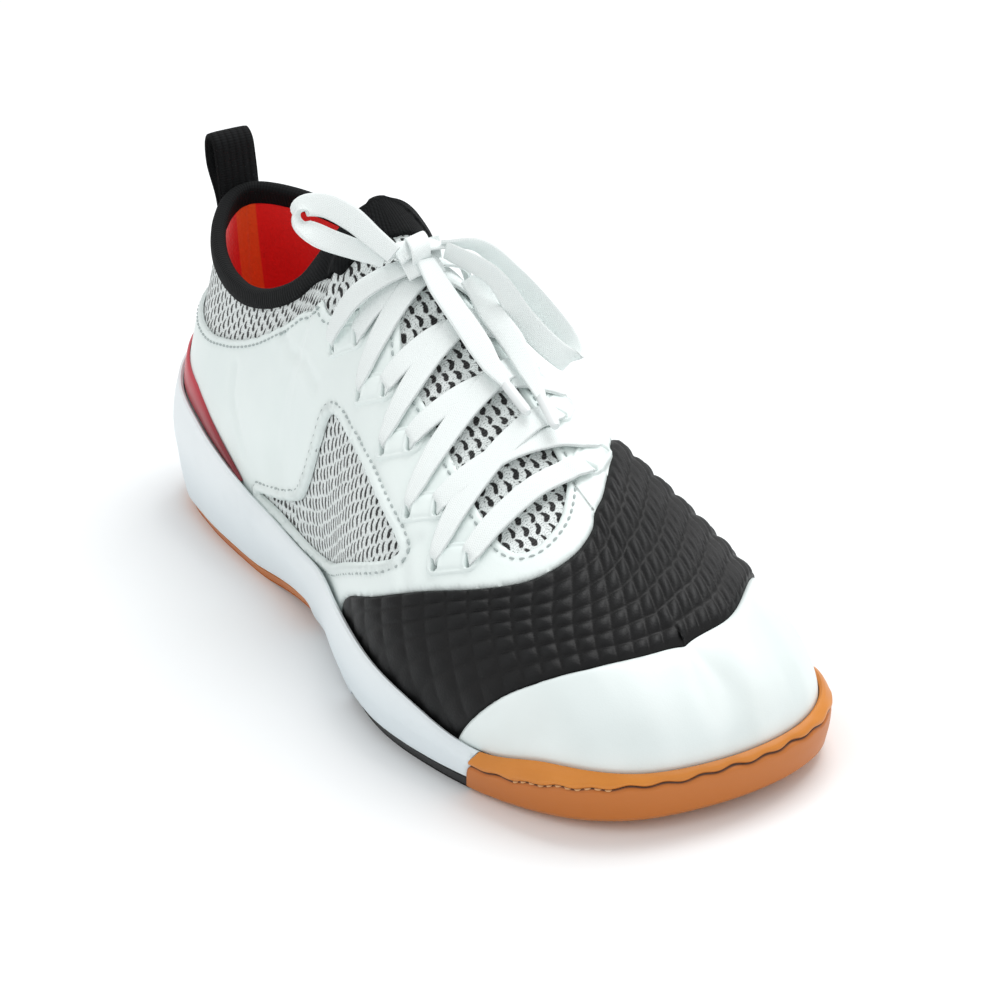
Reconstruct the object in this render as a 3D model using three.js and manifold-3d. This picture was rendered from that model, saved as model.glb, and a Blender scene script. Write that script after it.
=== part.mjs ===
// Indoor football shoe for the right foot, in millimetres: +Z up, toe towards -Y, inner side of the foot at +X.
// The origin is the middle of the heel's flat tread face. Every curved piece comes from one skin over the last.
import * as THREE from "three";
import Module from "manifold-3d";

const wasm = await Module();
wasm.setup();

// Overall sizes
const LENGTH = 289;
const BALL_WIDTH = 105;
const HEEL_REST = 45;
const TOE_SHIFT = 9;
const TOE_SPRING = 4;
const ARCH_RISE = 5;
const INSTEP_TOP = 114;
const RIDGE_SHIFT = 7;
const COLLAR_WIDTH = 50;
const COLLAR_SHIFT = 3;

// Sole, heights above the floor
const HEEL_STACK = 20;
const FORE_STACK = 11;
const TREAD = 4;
const TREAD_INSET = 1.8;
const TREAD_ROUND = 1.5;
const CUP_HEIGHT = 46;
const CUP_WALL = 3.4;
const CUP_LIP = 1.6;
const HEEL_TREAD_END = 133;
const FORE_TREAD_START = 177;
const BUMPER_START = 238;
const BUMPER_SLANT = 0.45;
const GROOVE_HEIGHT = 12;
const GROOVE_WIDTH = 1.6;
const GROOVE_DEPTH = 0.9;
const FLEX_PITCH = 11;
const FLEX_WIDTH = 2.4;
const FLEX_DEPTH = 1.6;
const FLEX_ROWS = 5;
const INSOLE = 3.5;

// Upper
const KNIT = 2;
const OVERLAY = 1.4;
const PADDED = 2.2;
const COLLAR_ROLL = 1.2;
const COLLAR_TOP = 1.6;
const TRIM = 1;
const TRIM_WIDTH = 7;
const GAP = 0.3;

// Eyelet tabs, lace and pull loop
const TAB_LENGTH = 15;
const TAB_WIDTH = 9;
const TAB = 0.9;
const SLOT_LENGTH = 6;
const SLOT_WIDTH = 1.8;
const LACE_WIDTH = 7;
const LACE = 1.3;
const AGLET_LENGTH = 11;
const AGLET = 3;
const LOOP_WIDTH = 14;
const LOOP_TOP = 106;
const LOOP_FOOT = 74;
const LOOP_BEND = 10;
const LOOP_STRAIGHT = 12;
const LOOP_DEPTH = 8;
const WEBBING = 1.8;

// Plan of the tread: shares of LENGTH from the heel's back, and half widths as shares of BALL_WIDTH
const PLAN = [
  { along: 0.03, outer: 0.22, inner: 0.205 },
  { along: 0.09, outer: 0.352, inner: 0.325 },
  { along: 0.175, outer: 0.39, inner: 0.352 },
  { along: 0.28, outer: 0.395, inner: 0.345 },
  { along: 0.38, outer: 0.386, inner: 0.325 },
  { along: 0.49, outer: 0.408, inner: 0.345 },
  { along: 0.59, outer: 0.468, inner: 0.415 },
  { along: 0.69, outer: 0.497, inner: 0.488 },
  { along: 0.78, outer: 0.468, inner: 0.517 },
  { along: 0.85, outer: 0.42, inner: 0.51 },
  { along: 0.91, outer: 0.355, inner: 0.475 },
  { along: 0.955, outer: 0.27, inner: 0.41 },
  { along: 0.986, outer: 0.145, inner: 0.29 },
];

// The skin is made of columns that climb from the sole to a crown. around is the share of the way from the toe
// tip to the heel's back. along is a share of LENGTH, height one of INSTEP_TOP. turn is the angle from across
// the foot to along it at which a column arrives. low and high are how far it keeps its first and last way.
const RIDGE = [
  { around: 0, along: 0.905, height: 0.34, shift: 1, turn: 90, low: 0.5, high: 0.5 },
  { around: 0.04, along: 0.9, height: 0.35, shift: 1, turn: 66, low: 0.5, high: 0.5 },
  { around: 0.08, along: 0.89, height: 0.364, shift: 1, turn: 44, low: 0.5, high: 0.5 },
  { around: 0.12, along: 0.874, height: 0.384, shift: 1, turn: 26, low: 0.5, high: 0.5 },
  { around: 0.16, along: 0.85, height: 0.41, shift: 1, turn: 12, low: 0.52, high: 0.5 },
  { around: 0.2, along: 0.82, height: 0.44, shift: 1, turn: 4, low: 0.54, high: 0.5 },
  { around: 0.28, along: 0.742, height: 0.52, shift: 1, turn: 0, low: 0.56, high: 0.5 },
  { around: 0.36, along: 0.652, height: 0.622, shift: 0.9, turn: 0, low: 0.54, high: 0.5 },
  { around: 0.44, along: 0.558, height: 0.741, shift: 0.7, turn: 0, low: 0.5, high: 0.46 },
  { around: 0.5, along: 0.488, height: 0.835, shift: 0.5, turn: 4, low: 0.46, high: 0.43 },
  { around: 0.55, along: 0.432, height: 0.908, shift: 0.4, turn: 10, low: 0.42, high: 0.4 },
  { around: 0.6, along: 0.381, height: 1, shift: 0.3, turn: 20, low: 0.4, high: 0.38 },
];
// Past the ridge the columns end on the collar's edge. aside is a share of half COLLAR_WIDTH, and lean the angle
// from upright at which a column arrives.
const COLLAR = [
  { around: 0.57, along: 0.378, height: 0.975, aside: -0.27, shift: 0.7, higher: -0.003, turn: 2, lean: 54, low: 0.4, high: 0.39 },
  { around: 0.6, along: 0.381, height: 1, aside: 0, shift: 0.7, higher: 0, turn: 20, lean: 54, low: 0.4, high: 0.33 },
  { around: 0.63, along: 0.378, height: 0.975, aside: 0.27, shift: 0.7, higher: 0.003, turn: 38, lean: 48, low: 0.39, high: 0.25 },
  { around: 0.66, along: 0.366, height: 0.905, aside: 0.52, shift: 0.72, higher: 0.01, turn: 56, lean: 38, low: 0.38, high: 0.265 },
  { around: 0.7, along: 0.332, height: 0.795, aside: 0.77, shift: 0.8, higher: 0.018, turn: 78, lean: 26, low: 0.38, high: 0.3 },
  { around: 0.74, along: 0.28, height: 0.725, aside: 0.92, shift: 0.85, higher: 0.026, turn: 88, lean: 17, low: 0.38, high: 0.3 },
  { around: 0.78, along: 0.222, height: 0.69, aside: 0.99, shift: 0.95, higher: 0.034, turn: 90, lean: 13, low: 0.38, high: 0.3 },
  { around: 0.82, along: 0.165, height: 0.688, aside: 0.96, shift: 1, higher: 0.038, turn: 90, lean: 12, low: 0.38, high: 0.3 },
  { around: 0.86, along: 0.112, height: 0.703, aside: 0.84, shift: 1, higher: 0.04, turn: 90, lean: 12, low: 0.38, high: 0.3 },
  { around: 0.9, along: 0.068, height: 0.727, aside: 0.65, shift: 1, higher: 0.034, turn: 90, lean: 11, low: 0.38, high: 0.3 },
  { around: 0.94, along: 0.035, height: 0.75, aside: 0.42, shift: 1, higher: 0.024, turn: 90, lean: 9, low: 0.38, high: 0.3 },
  { around: 0.97, along: 0.017, height: 0.768, aside: 0.21, shift: 1, higher: 0.012, turn: 90, lean: 6, low: 0.38, high: 0.3 },
  { around: 1, along: 0.011, height: 0.778, aside: 0, shift: 1, higher: 0, turn: 90, lean: 4, low: 0.38, high: 0.3 },
  { around: 1.03, along: 0.017, height: 0.768, aside: -0.21, shift: 1, higher: -0.012, turn: 90, lean: 6, low: 0.38, high: 0.3 },
];
const TONGUE_TIP = 0.6;

// Along the shoe: stack runs from FORE_STACK (0) to HEEL_STACK (1), cup is a share of CUP_HEIGHT, flare the
// outward lean of the skin at its foot, arch a share of ARCH_RISE and spring one of TOE_SPRING.
const SIDE = [
  { along: 0, stack: 1, cup: 1, flare: 0.12, arch: 0, spring: 0 },
  { along: 0.1, stack: 1, cup: 0.87, flare: 0.14, arch: 0, spring: 0 },
  { along: 0.2, stack: 0.98, cup: 0.72, flare: 0.1, arch: 0, spring: 0 },
  { along: 0.32, stack: 0.86, cup: 0.56, flare: 0.05, arch: 0, spring: 0 },
  { along: 0.42, stack: 0.68, cup: 0.485, flare: 0.05, arch: 0.7, spring: 0 },
  { along: 0.5, stack: 0.48, cup: 0.52, flare: 0.1, arch: 1, spring: 0 },
  { along: 0.57, stack: 0.25, cup: 0.555, flare: 0.16, arch: 0.6, spring: 0 },
  { along: 0.64, stack: 0.08, cup: 0.53, flare: 0.24, arch: 0, spring: 0 },
  { along: 0.74, stack: 0, cup: 0.42, flare: 0.28, arch: 0, spring: 0 },
  { along: 0.84, stack: 0, cup: 0.29, flare: 0.26, arch: 0, spring: 0.12 },
  { along: 0.92, stack: 0, cup: 0.375, flare: 0.2, arch: 0, spring: 0.5 },
  { along: 1, stack: 0, cup: 0.355, flare: 0.16, arch: 0, spring: 1 },
];

// A smooth curve through one column of a table, keyed by another.
function follow(rows, key, column, at) {
  const last = rows.length - 1;
  const x = THREE.MathUtils.clamp(at, rows[0][key], rows[last][key]);
  let i = 0;
  while (i < last - 1 && x > rows[i + 1][key]) i += 1;
  const slope = (a, b) => (rows[b][column] - rows[a][column]) / (rows[b][key] - rows[a][key]);
  const span = rows[i + 1][key] - rows[i][key];
  const t = (x - rows[i][key]) / span;
  const before = i > 0 ? slope(i - 1, i + 1) : slope(0, 1);
  const after = i + 2 <= last ? slope(i, i + 2) : slope(i, i + 1);
  return (
    (2 * t ** 3 - 3 * t ** 2 + 1) * rows[i][column] +
    (t ** 3 - 2 * t ** 2 + t) * span * before +
    (3 * t ** 2 - 2 * t ** 3) * rows[i + 1][column] +
    (t ** 3 - t ** 2) * span * after
  );
}

const UP = new THREE.Vector3(0, 0, 1);
const place = (aside, along, height) => new THREE.Vector3(aside, HEEL_REST - along, height);
const side = (column, p) => follow(SIDE, "along", column, (HEEL_REST - p.y) / LENGTH);
const treadLow = (p) => Math.max(side("arch", p) * ARCH_RISE + side("spring", p) * TOE_SPRING, 0);
const stack = (p) => THREE.MathUtils.lerp(FORE_STACK, HEEL_STACK, side("stack", p)) + side("spring", p) * TOE_SPRING;

// Outline of the tread, clockwise from the toe tip along the outer side.
const outline = new THREE.CatmullRomCurve3(
  [
    place(TOE_SHIFT, LENGTH, 0),
    ...PLAN.toReversed().map((row) => place(-row.outer * BALL_WIDTH, row.along * LENGTH, 0)),
    place(0, 0, 0),
    ...PLAN.map((row) => place(row.inner * BALL_WIDTH, row.along * LENGTH, 0)),
  ],
  true,
  "centripetal",
);
outline.arcLengthDivisions = 1200;
const HEEL_TURN = 0.505;

// A place on the outline, moved inward: around is 0 at the toe tip and 1 at the heel's back along the outer
// side, and runs to -1 along the inner side.
function edge(around, inset) {
  const share = around >= 0 ? around * HEEL_TURN : 1 + around * (1 - HEEL_TURN);
  const at = THREE.MathUtils.euclideanModulo(share, 1);
  const way = outline.getTangentAt(at);
  return outline.getPointAt(at).addScaledVector(new THREE.Vector3(way.y, -way.x, 0), inset);
}

const FOOT_INSET = CUP_WALL + GAP + PADDED + GAP;
const wrap = (around) => THREE.MathUtils.euclideanModulo(around + 1, 2) - 1;

// Where a column ends: a place on the ridge or collar.
function crown(around) {
  const w = Math.abs(around);
  const sign = around < 0 ? 1 : -1;
  const rows = w <= TONGUE_TIP ? RIDGE : COLLAR;
  const read = (column) => follow(rows, "around", column, w);
  const height = read("height") * INSTEP_TOP;
  if (w <= TONGUE_TIP) return place(read("shift") * RIDGE_SHIFT, read("along") * LENGTH, height);
  const aside = (sign * read("aside") * COLLAR_WIDTH) / 2 + read("shift") * COLLAR_SHIFT;
  const inner = around < 0 ? read("higher") * INSTEP_TOP : 0;
  return place(aside, read("along") * LENGTH, height + inner);
}

// The way in which a column arrives at its crown, always in the skin's own plane there.
function arrival(around) {
  const w = Math.min(Math.abs(around), 1);
  const sign = around < 0 ? 1 : -1;
  const step = 0.004;
  if (w <= TONGUE_TIP) {
    const a = crown(sign * -Math.max(w - step, 0));
    const b = crown(sign * -Math.min(w + step, TONGUE_TIP));
    const back = b.sub(a).normalize();
    const turn = THREE.MathUtils.degToRad(follow(RIDGE, "around", "turn", w));
    return back.multiplyScalar(Math.sin(turn)).addScaledVector(new THREE.Vector3(-sign, 0, 0), Math.cos(turn));
  }
  const a = crown(sign * -Math.max(w - step, TONGUE_TIP + step / 4));
  const b = crown(-sign * (w + step));
  const way = b.sub(a).normalize();
  const inward = new THREE.Vector3(way.y, -way.x, 0).normalize().multiplyScalar(-sign);
  const lean = THREE.MathUtils.degToRad(follow(COLLAR, "around", "lean", w));
  const turn = THREE.MathUtils.degToRad(follow(COLLAR, "around", "turn", w));
  const upright = inward.multiplyScalar(Math.sin(lean)).addScaledVector(UP, Math.cos(lean));
  return upright.multiplyScalar(Math.sin(turn)).addScaledVector(way, -Math.cos(turn)).normalize();
}

const columns = new Map();
function column(around) {
  const key = around.toFixed(6);
  if (columns.has(key)) return columns.get(key);
  const w = Math.abs(around);
  const rows = w <= TONGUE_TIP ? RIDGE : COLLAR;
  const foot = edge(around, FOOT_INSET);
  foot.z = stack(foot) + GAP;
  const outward = edge(around, 0).sub(edge(around, 1));
  const top = crown(around);
  const way = arrival(around);
  const rise = top.z - foot.z;
  const run = Math.hypot(top.x - foot.x, top.y - foot.y);
  const low = follow(rows, "around", "low", w) * rise;
  const high = follow(rows, "around", "high", w) * (Math.hypot(way.x, way.y) * run + way.z * rise);
  const made = new THREE.CubicBezierCurve3(
    foot,
    foot.clone().addScaledVector(UP, low).addScaledVector(outward, side("flare", foot) * low),
    top.clone().addScaledVector(way, -high),
    top,
  );
  columns.set(key, made);
  return made;
}

// The two sides share the ridge, so a place on it has one name.
const onRidge = (around, up) => up >= 1 && Math.abs(around) <= TONGUE_TIP;
const named = (around, up) => {
  const turned = Math.abs(around) === 1 ? 1 : around;
  return [onRidge(turned, up) ? Math.abs(turned) : turned, up];
};

// A place on the skin, the knit's outer face, moved out of it by offset.
const normals = new Map();
function normal(around, up) {
  const key = around.toFixed(6) + " " + up.toFixed(6);
  if (normals.has(key)) return normals.get(key);
  const step = 0.012;
  const level = THREE.MathUtils.clamp(up, step, 1 - step);
  const across = column(wrap(around + step)).getPoint(level).sub(column(wrap(around - step)).getPoint(level));
  const climb = column(around).getPoint(level + step).sub(column(around).getPoint(level - step));
  const made = climb.cross(across).normalize();
  if (onRidge(around, up)) made.setX(0).normalize();
  normals.set(key, made);
  return made;
}
function skin(around, up, offset) {
  const [a, u] = named(around, up);
  return column(a).getPoint(u).addScaledVector(normal(a, u), offset);
}
// A closed solid from faces, each a list of places round its edge.
function solid(faces) {
  const numbers = new Map();
  const places = [];
  const corners = [];
  const number = (p) => {
    const name = `${p.x.toFixed(4)} ${p.y.toFixed(4)} ${p.z.toFixed(4)}`;
    if (!numbers.has(name)) {
      numbers.set(name, places.length);
      places.push(p);
    }
    return numbers.get(name);
  };
  for (const face of faces) {
    const ring = face.map(number);
    for (let i = 2; i < ring.length; i += 1) {
      const triangle = [ring[0], ring[i - 1], ring[i]];
      if (new Set(triangle).size === 3) corners.push(triangle);
    }
  }
  const volume = corners.reduce((sum, [a, b, c]) => {
    return sum + places[a].dot(places[b].clone().cross(places[c]));
  }, 0);
  const turned = volume < 0 ? corners.map(([a, b, c]) => [a, c, b]) : corners;
  return new wasm.Manifold(
    new wasm.Mesh({
      numProp: 3,
      vertProperties: Float32Array.from(places.flatMap((p) => p.toArray())),
      triVerts: Uint32Array.from(turned.flat()),
    }),
  );
}

const spread = (from, to, count) =>
  Array.from({ length: count + 1 }, (_, i) => THREE.MathUtils.lerp(from, to, i / count));

// The faces between neighbouring sections. A ring's last section meets its first, and a closed section's last
// place meets its own first.
function loft(sections, ring, closed) {
  const faces = [];
  const steps = ring ? sections.length : sections.length - 1;
  for (let i = 0; i < steps; i += 1) {
    const here = sections[i];
    const next = sections[(i + 1) % sections.length];
    const sides = closed ? here.length : here.length - 1;
    for (let j = 0; j < sides; j += 1) {
      const k = (j + 1) % here.length;
      faces.push([here[j], here[k], next[k], next[j]]);
    }
  }
  return faces;
}

// A solid swept through closed sections, with flat ends.
function sweep(sections) {
  return solid([sections[0].toReversed(), ...loft(sections, false, true), sections[sections.length - 1]]);
}

// A wall over a grid of the skin, from one offset to another. The grid's own edges are the wall's edges.
function shell(arounds, ups, high, low) {
  const label = (corner) => named(...corner).join(" ");
  const triangles = [];
  const add = (...three) => {
    if (new Set(three.map(label)).size === 3) triangles.push(three);
  };
  for (let i = 1; i < arounds.length; i += 1) {
    for (let j = 1; j < ups.length; j += 1) {
      const [a, b] = [arounds[i - 1], arounds[i]];
      const [u, v] = [ups[j - 1], ups[j]];
      add([a, u], [a, v], [b, v]);
      add([a, u], [b, v], [b, u]);
    }
  }
  const sides = triangles.flatMap(([a, b, c]) => [[a, b], [b, c], [c, a]]);
  const there = new Set(sides.map(([a, b]) => label(a) + "|" + label(b)));
  const rims = sides.filter(([a, b]) => !there.has(label(b) + "|" + label(a)));
  return solid([
    ...triangles.map((three) => three.map((c) => skin(...c, high))),
    ...triangles.map((three) => three.toReversed().map((c) => skin(...c, low))),
    ...rims.map(([a, b]) => [skin(...b, high), skin(...a, high), skin(...a, low), skin(...b, low)]),
  ]);
}

const FENCE_STEPS = 2;
const FENCE_SPARE = 1;
const FENCE_FOOT = KNIT + FENCE_SPARE;
const FENCE_TOP = GAP + PADDED + FENCE_SPARE;

// A thin wall that stands on the skin along a line, to part a shell in two with a gap.
function fence(line, closed) {
  const path = new THREE.CatmullRomCurve3(line.map((row) => skin(row.around, row.up, 0)), closed, "centripetal");
  const outs = line.map((row) => normal(...named(row.around, row.up)));
  const beside = (i) => outs[closed ? (i + outs.length) % outs.length : THREE.MathUtils.clamp(i, 0, outs.length - 1)];
  const eased = outs.map((out, i) => out.clone().add(beside(i - 1)).add(beside(i + 1)).normalize());
  const out = new THREE.CatmullRomCurve3(eased, closed, "centripetal");
  const shares = spread(0, 1, Math.round(line.length * FENCE_STEPS));
  const sections = (closed ? shares.slice(0, -1) : shares).map((t) => {
    const upright = out.getPoint(t).normalize();
    const across = path.getTangent(t).cross(upright).setLength(GAP / 2);
    const corner = (way, lift) =>
      path.getPoint(t).addScaledVector(across, way).addScaledVector(upright, lift);
    return [corner(1, -FENCE_FOOT), corner(1, FENCE_TOP), corner(-1, FENCE_TOP), corner(-1, -FENCE_FOOT)];
  });
  return closed ? solid(loft(sections, true, true)) : sweep(sections);
}

const FLATNESS = 0.03;

// The body of a cut shell that comes nearest to a place.
function bodyAt(cut, spot) {
  const reach = (body) => {
    const { vertProperties, numProp } = body.getMesh();
    let best = Infinity;
    for (let i = 0; i < vertProperties.length; i += numProp) {
      best = Math.min(best, spot.distanceTo(new THREE.Vector3().fromArray(vertProperties, i)));
    }
    return best;
  };
  return cut.simplify(FLATNESS).decompose().sort((a, b) => reach(a) - reach(b))[0];
}

// A solid that stands on a closed line of the skin, to cut a window or raise a pad.
function plug(line, low, high) {
  const flat = line.map((row) => new THREE.Vector2(row.around * LENGTH, row.up * INSTEP_TOP));
  if (THREE.ShapeUtils.isClockWise(flat)) return plug(line.toReversed(), low, high);
  const rings = [low, high].map((lift) => line.map((row) => skin(row.around, row.up, lift)));
  const caps = THREE.ShapeUtils.triangulateShape(flat, []);
  return solid([
    ...caps.map((cap) => cap.map((i) => rings[0][i])),
    ...caps.map((cap) => cap.map((i) => rings[1][i]).toReversed()),
    ...loft(rings, false, true).map((face) => face.toReversed()),
  ]);
}

const mirrored = (line) => line.map((row) => ({ ...row, around: -row.around }));

// Lines on the skin between its panels, each a row of places on it
const TOE_LINE = [
  { around: 0.262, up: -0.06 },
  { around: 0.255, up: 0 },
  { around: 0.244, up: 0.064 },
  { around: 0.224, up: 0.176 },
  { around: 0.202, up: 0.29 },
  { around: 0.179, up: 0.387 },
  { around: 0.146, up: 0.525 },
  { around: 0.11, up: 0.68 },
  { around: 0.051, up: 0.87 },
  { around: 0, up: 0.92 },
  { around: -0.045, up: 0.897 },
  { around: -0.084, up: 0.82 },
  { around: -0.111, up: 0.73 },
  { around: -0.146, up: 0.627 },
  { around: -0.18, up: 0.53 },
  { around: -0.21, up: 0.43 },
  { around: -0.235, up: 0.32 },
  { around: -0.255, up: 0.19 },
  { around: -0.267, up: 0.08 },
  { around: -0.272, up: 0 },
  { around: -0.276, up: -0.06 },
];
const BAND_LINE = [
  { around: 0.475, up: -0.06 },
  { around: 0.46, up: 0 },
  { around: 0.436, up: 0.135 },
  { around: 0.368, up: 0.277 },
  { around: 0.319, up: 0.399 },
  { around: 0.271, up: 0.532 },
  { around: 0.242, up: 0.652 },
  { around: 0.231, up: 0.759 },
  { around: 0.232, up: 0.867 },
  { around: 0.246, up: 0.96 },
  { around: 0.26, up: 1 },
  { around: -0.277, up: 0.919 },
  { around: -0.316, up: 0.78 },
  { around: -0.362, up: 0.62 },
  { around: -0.4, up: 0.45 },
  { around: -0.43, up: 0.25 },
  { around: -0.46, up: 0 },
  { around: -0.475, up: -0.06 },
];
// The knit shows above this line, which runs from the heel's back along the outer side, down one edge of the
// throat, up its other edge and back along the inner side.
const OPENING_LINE = [
  { around: 1, up: 0.62 },
  { around: 0.94, up: 0.622 },
  { around: 0.88, up: 0.632 },
  { around: 0.827, up: 0.651 },
  { around: 0.794, up: 0.701 },
  { around: 0.742, up: 0.776 },
  { around: 0.71, up: 0.8 },
  { around: 0.67, up: 0.747 },
  { around: 0.625, up: 0.655 },
  { around: 0.585, up: 0.605 },
  { around: 0.566, up: 0.66 },
  { around: 0.552, up: 0.716 },
  { around: 0.532, up: 0.8 },
  { around: 0.514, up: 0.83 },
  { around: 0.494, up: 0.79 },
  { around: 0.466, up: 0.735 },
  { around: 0.415, up: 0.735 },
  { around: 0.36, up: 0.718 },
  { around: 0.313, up: 0.69 },
  { around: 0.283, up: 0.68 },
  { around: 0.266, up: 0.7 },
  { around: 0.258, up: 0.76 },
  { around: 0.261, up: 0.83 },
  { around: 0.27, up: 0.892 },
  { around: 0.288, up: 0.955 },
  { around: 0.306, up: 1 },
  { around: -0.345, up: 0.965 },
  { around: -0.39, up: 0.93 },
  { around: -0.435, up: 0.89 },
  { around: -0.48, up: 0.86 },
  { around: -0.514, up: 0.85 },
  { around: -0.535, up: 0.79 },
  { around: -0.552, up: 0.716 },
  { around: -0.566, up: 0.66 },
  { around: -0.585, up: 0.605 },
  { around: -0.625, up: 0.655 },
  { around: -0.67, up: 0.747 },
  { around: -0.71, up: 0.8 },
  { around: -0.742, up: 0.776 },
  { around: -0.794, up: 0.701 },
  { around: -0.827, up: 0.651 },
  { around: -0.88, up: 0.632 },
  { around: -0.94, up: 0.622 },
];
// The vent in either side of the quarter.
const VENT_LINE = [
  { around: 0.539, up: 0.43 },
  { around: 0.491, up: 0.454 },
  { around: 0.417, up: 0.465 },
  { around: 0.358, up: 0.44 },
  { around: 0.363, up: 0.4 },
  { around: 0.436, up: 0.237 },
  { around: 0.52, up: 0.095 },
  { around: 0.585, up: 0.052 },
  { around: 0.64, up: 0.064 },
  { around: 0.671, up: 0.084 },
  { around: 0.626, up: 0.108 },
  { around: 0.586, up: 0.15 },
  { around: 0.566, up: 0.228 },
  { around: 0.552, up: 0.335 },
];
// The collar band's lower edge on the outer side, and top, the place on the collar's edge above each row.
const COLLAR_LINE = [
  { around: 0.565, up: 1, top: 0.6 },
  { around: 0.57, up: 0.92, top: 0.622 },
  { around: 0.576, up: 0.843, top: 0.638 },
  { around: 0.583, up: 0.764, top: 0.65 },
  { around: 0.59, up: 0.71, top: 0.658 },
  { around: 0.604, up: 0.7, top: 0.664 },
  { around: 0.63, up: 0.77, top: 0.672 },
  { around: 0.661, up: 0.845, top: 0.687 },
  { around: 0.68, up: 0.89, top: 0.697 },
  { around: 0.7, up: 0.915, top: 0.71 },
  { around: 0.726, up: 0.925, top: 0.73 },
  { around: 0.757, up: 0.925, top: 0.758 },
  { around: 0.79, up: 0.925, top: 0.79 },
  { around: 0.83, up: 0.925, top: 0.83 },
  { around: 0.87, up: 0.925, top: 0.87 },
  { around: 0.91, up: 0.925, top: 0.91 },
  { around: 0.955, up: 0.925, top: 0.955 },
  { around: 1, up: 0.925, top: 1 },
];
const EYELETS = [
  { outer: [0.561, 0.576], inner: [0.531, 0.658] },
  { outer: [0.495, 0.575], inner: [0.467, 0.658] },
  { outer: [0.433, 0.565], inner: [0.41, 0.647] },
  { outer: [0.37, 0.541], inner: [0.348, 0.613] },
  { outer: [0.319, 0.502], inner: [0.294, 0.582] },
];
const INNER_EYELETS = [
  { outer: [-0.561, 0.62], inner: [-0.531, 0.7] },
  { outer: [-0.503, 0.655], inner: [-0.478, 0.75] },
  { outer: [-0.452, 0.68], inner: [-0.423, 0.8] },
  { outer: [-0.398, 0.725], inner: [-0.369, 0.855] },
  { outer: [-0.336, 0.776], inner: [-0.309, 0.905] },
];

// Upper, one knitted wall from the sole to the collar band, tongue and all.
const ringLine = [...COLLAR_LINE, ...mirrored(COLLAR_LINE).toReversed().slice(1, -1)];
const collarFence = fence(ringLine, true);
const ROWS = [0, 0.11, 0.24, 0.38, 0.52, 0.66, 0.79, 0.91, 1];
const half = [0, 0.3, 0.6, 0.9].flatMap((from, i) => {
  const [to, steps] = [[0.3, 9], [0.6, 8], [0.9, 8], [1, 4]][i];
  return spread(from, to, steps).slice(i === 0 ? 0 : 1);
});
const ring = [...half.map((a) => -a).toReversed(), ...half.slice(1)];
const turns = ring.slice(1);
const upper = bodyAt(shell(ring, ROWS, 0, -KNIT).subtract(collarFence), skin(0.8, 0.3, 0));

// Collar band, a padded roll on the knit's edge.
const BAND_SHARES = [0, 0.5, 1];
function bandSection(row) {
  const rowAt = (t) => {
    if (Math.abs(row.around) <= TONGUE_TIP && row.up === 1) {
      return [THREE.MathUtils.lerp(row.around, row.top, t), 1];
    }
    return [THREE.MathUtils.lerp(row.around, row.top, t), THREE.MathUtils.lerp(row.up, 1, t)];
  };
  const face = (offset) => BAND_SHARES.map((t) => skin(...rowAt(t), offset));
  const edgeWay = skin(row.top, 1, 0).sub(skin(...rowAt(0.8), 0)).normalize();
  const roll = skin(row.top, 1, -KNIT / 2).addScaledVector(edgeWay, COLLAR_TOP);
  return [...face(COLLAR_ROLL), roll, ...face(-KNIT - COLLAR_ROLL / 2).toReversed()];
}
const signed = (row, way) => ({ ...row, around: row.around * way, top: row.top * way });
const bandRows = [
  ...COLLAR_LINE.map((row) => signed(row, 1)),
  ...COLLAR_LINE.map((row) => signed(row, -1)).toReversed().slice(1, -1),
];
const collarBand = bodyAt(
  solid(loft(bandRows.map(bandSection), true, true)).subtract(collarFence),
  skin(0.85, 1, 0),
);

// Overlays, each a part of its own wall between two lines, with its foot a little above the knit's.
const OVERLAY_FOOT = 0.03;
const overlayRows = [OVERLAY_FOOT, ...ROWS.slice(1)];
const toeFence = fence(TOE_LINE, false);
const bandFence = fence(BAND_LINE, false);
const openingFence = fence(OPENING_LINE, true);
const within = (limit) => ring.filter((a) => Math.abs(a) <= limit);
const toeOverlay = bodyAt(shell(within(0.31), overlayRows, GAP + PADDED, GAP).subtract(toeFence), skin(0, 0.4, 0));
const vampBand = bodyAt(
  shell(within(0.51), overlayRows, GAP + PADDED, GAP).subtract(toeFence.add(bandFence)),
  skin(0.25, 0.4, GAP),
);
const rear = [...ring.filter((a) => a >= 0.2), ...ring.filter((a) => a <= -0.2)];
const quarterWall = bodyAt(
  shell(rear, overlayRows, GAP + OVERLAY, GAP).subtract(bandFence.add(openingFence)),
  skin(0.75, 0.3, GAP),
);

// A flat chart of the skin about a place: millimetres along and across a way on it become a place on the skin.
function chart(centre, toward) {
  const step = 0.002;
  const [around, up] = centre;
  const slope = (a, u) => skin(around + a, up + u, 0).sub(skin(around - a, up - u, 0)).divideScalar(2 * step);
  const byAround = slope(step, 0);
  const byUp = slope(0, step);
  const way = byAround.clone().multiplyScalar(toward[0]).addScaledVector(byUp, toward[1]).normalize();
  const side = normal(around, up).clone().cross(way);
  const [aa, au, uu] = [byAround.lengthSq(), byAround.dot(byUp), byUp.lengthSq()];
  const whole = aa * uu - au * au;
  return (x, y) => {
    const move = way.clone().multiplyScalar(x).addScaledVector(side, y);
    const [a, u] = [move.dot(byAround), move.dot(byUp)];
    return { around: around + (a * uu - u * au) / whole, up: up + (u * aa - a * au) / whole };
  };
}

const ROUND_CORNERS = 8;
// A rounded oblong on a chart: a line of places for a plug.
const oblong = (at, length, width) =>
  spread(0, 2 * Math.PI, ROUND_CORNERS)
    .slice(0, -1)
    .map((turn) => {
      const squared = (v) => Math.sign(v) * Math.sqrt(Math.abs(v));
      return at((length / 2) * squared(Math.cos(turn)), (width / 2) * squared(Math.sin(turn)));
    });

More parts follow.
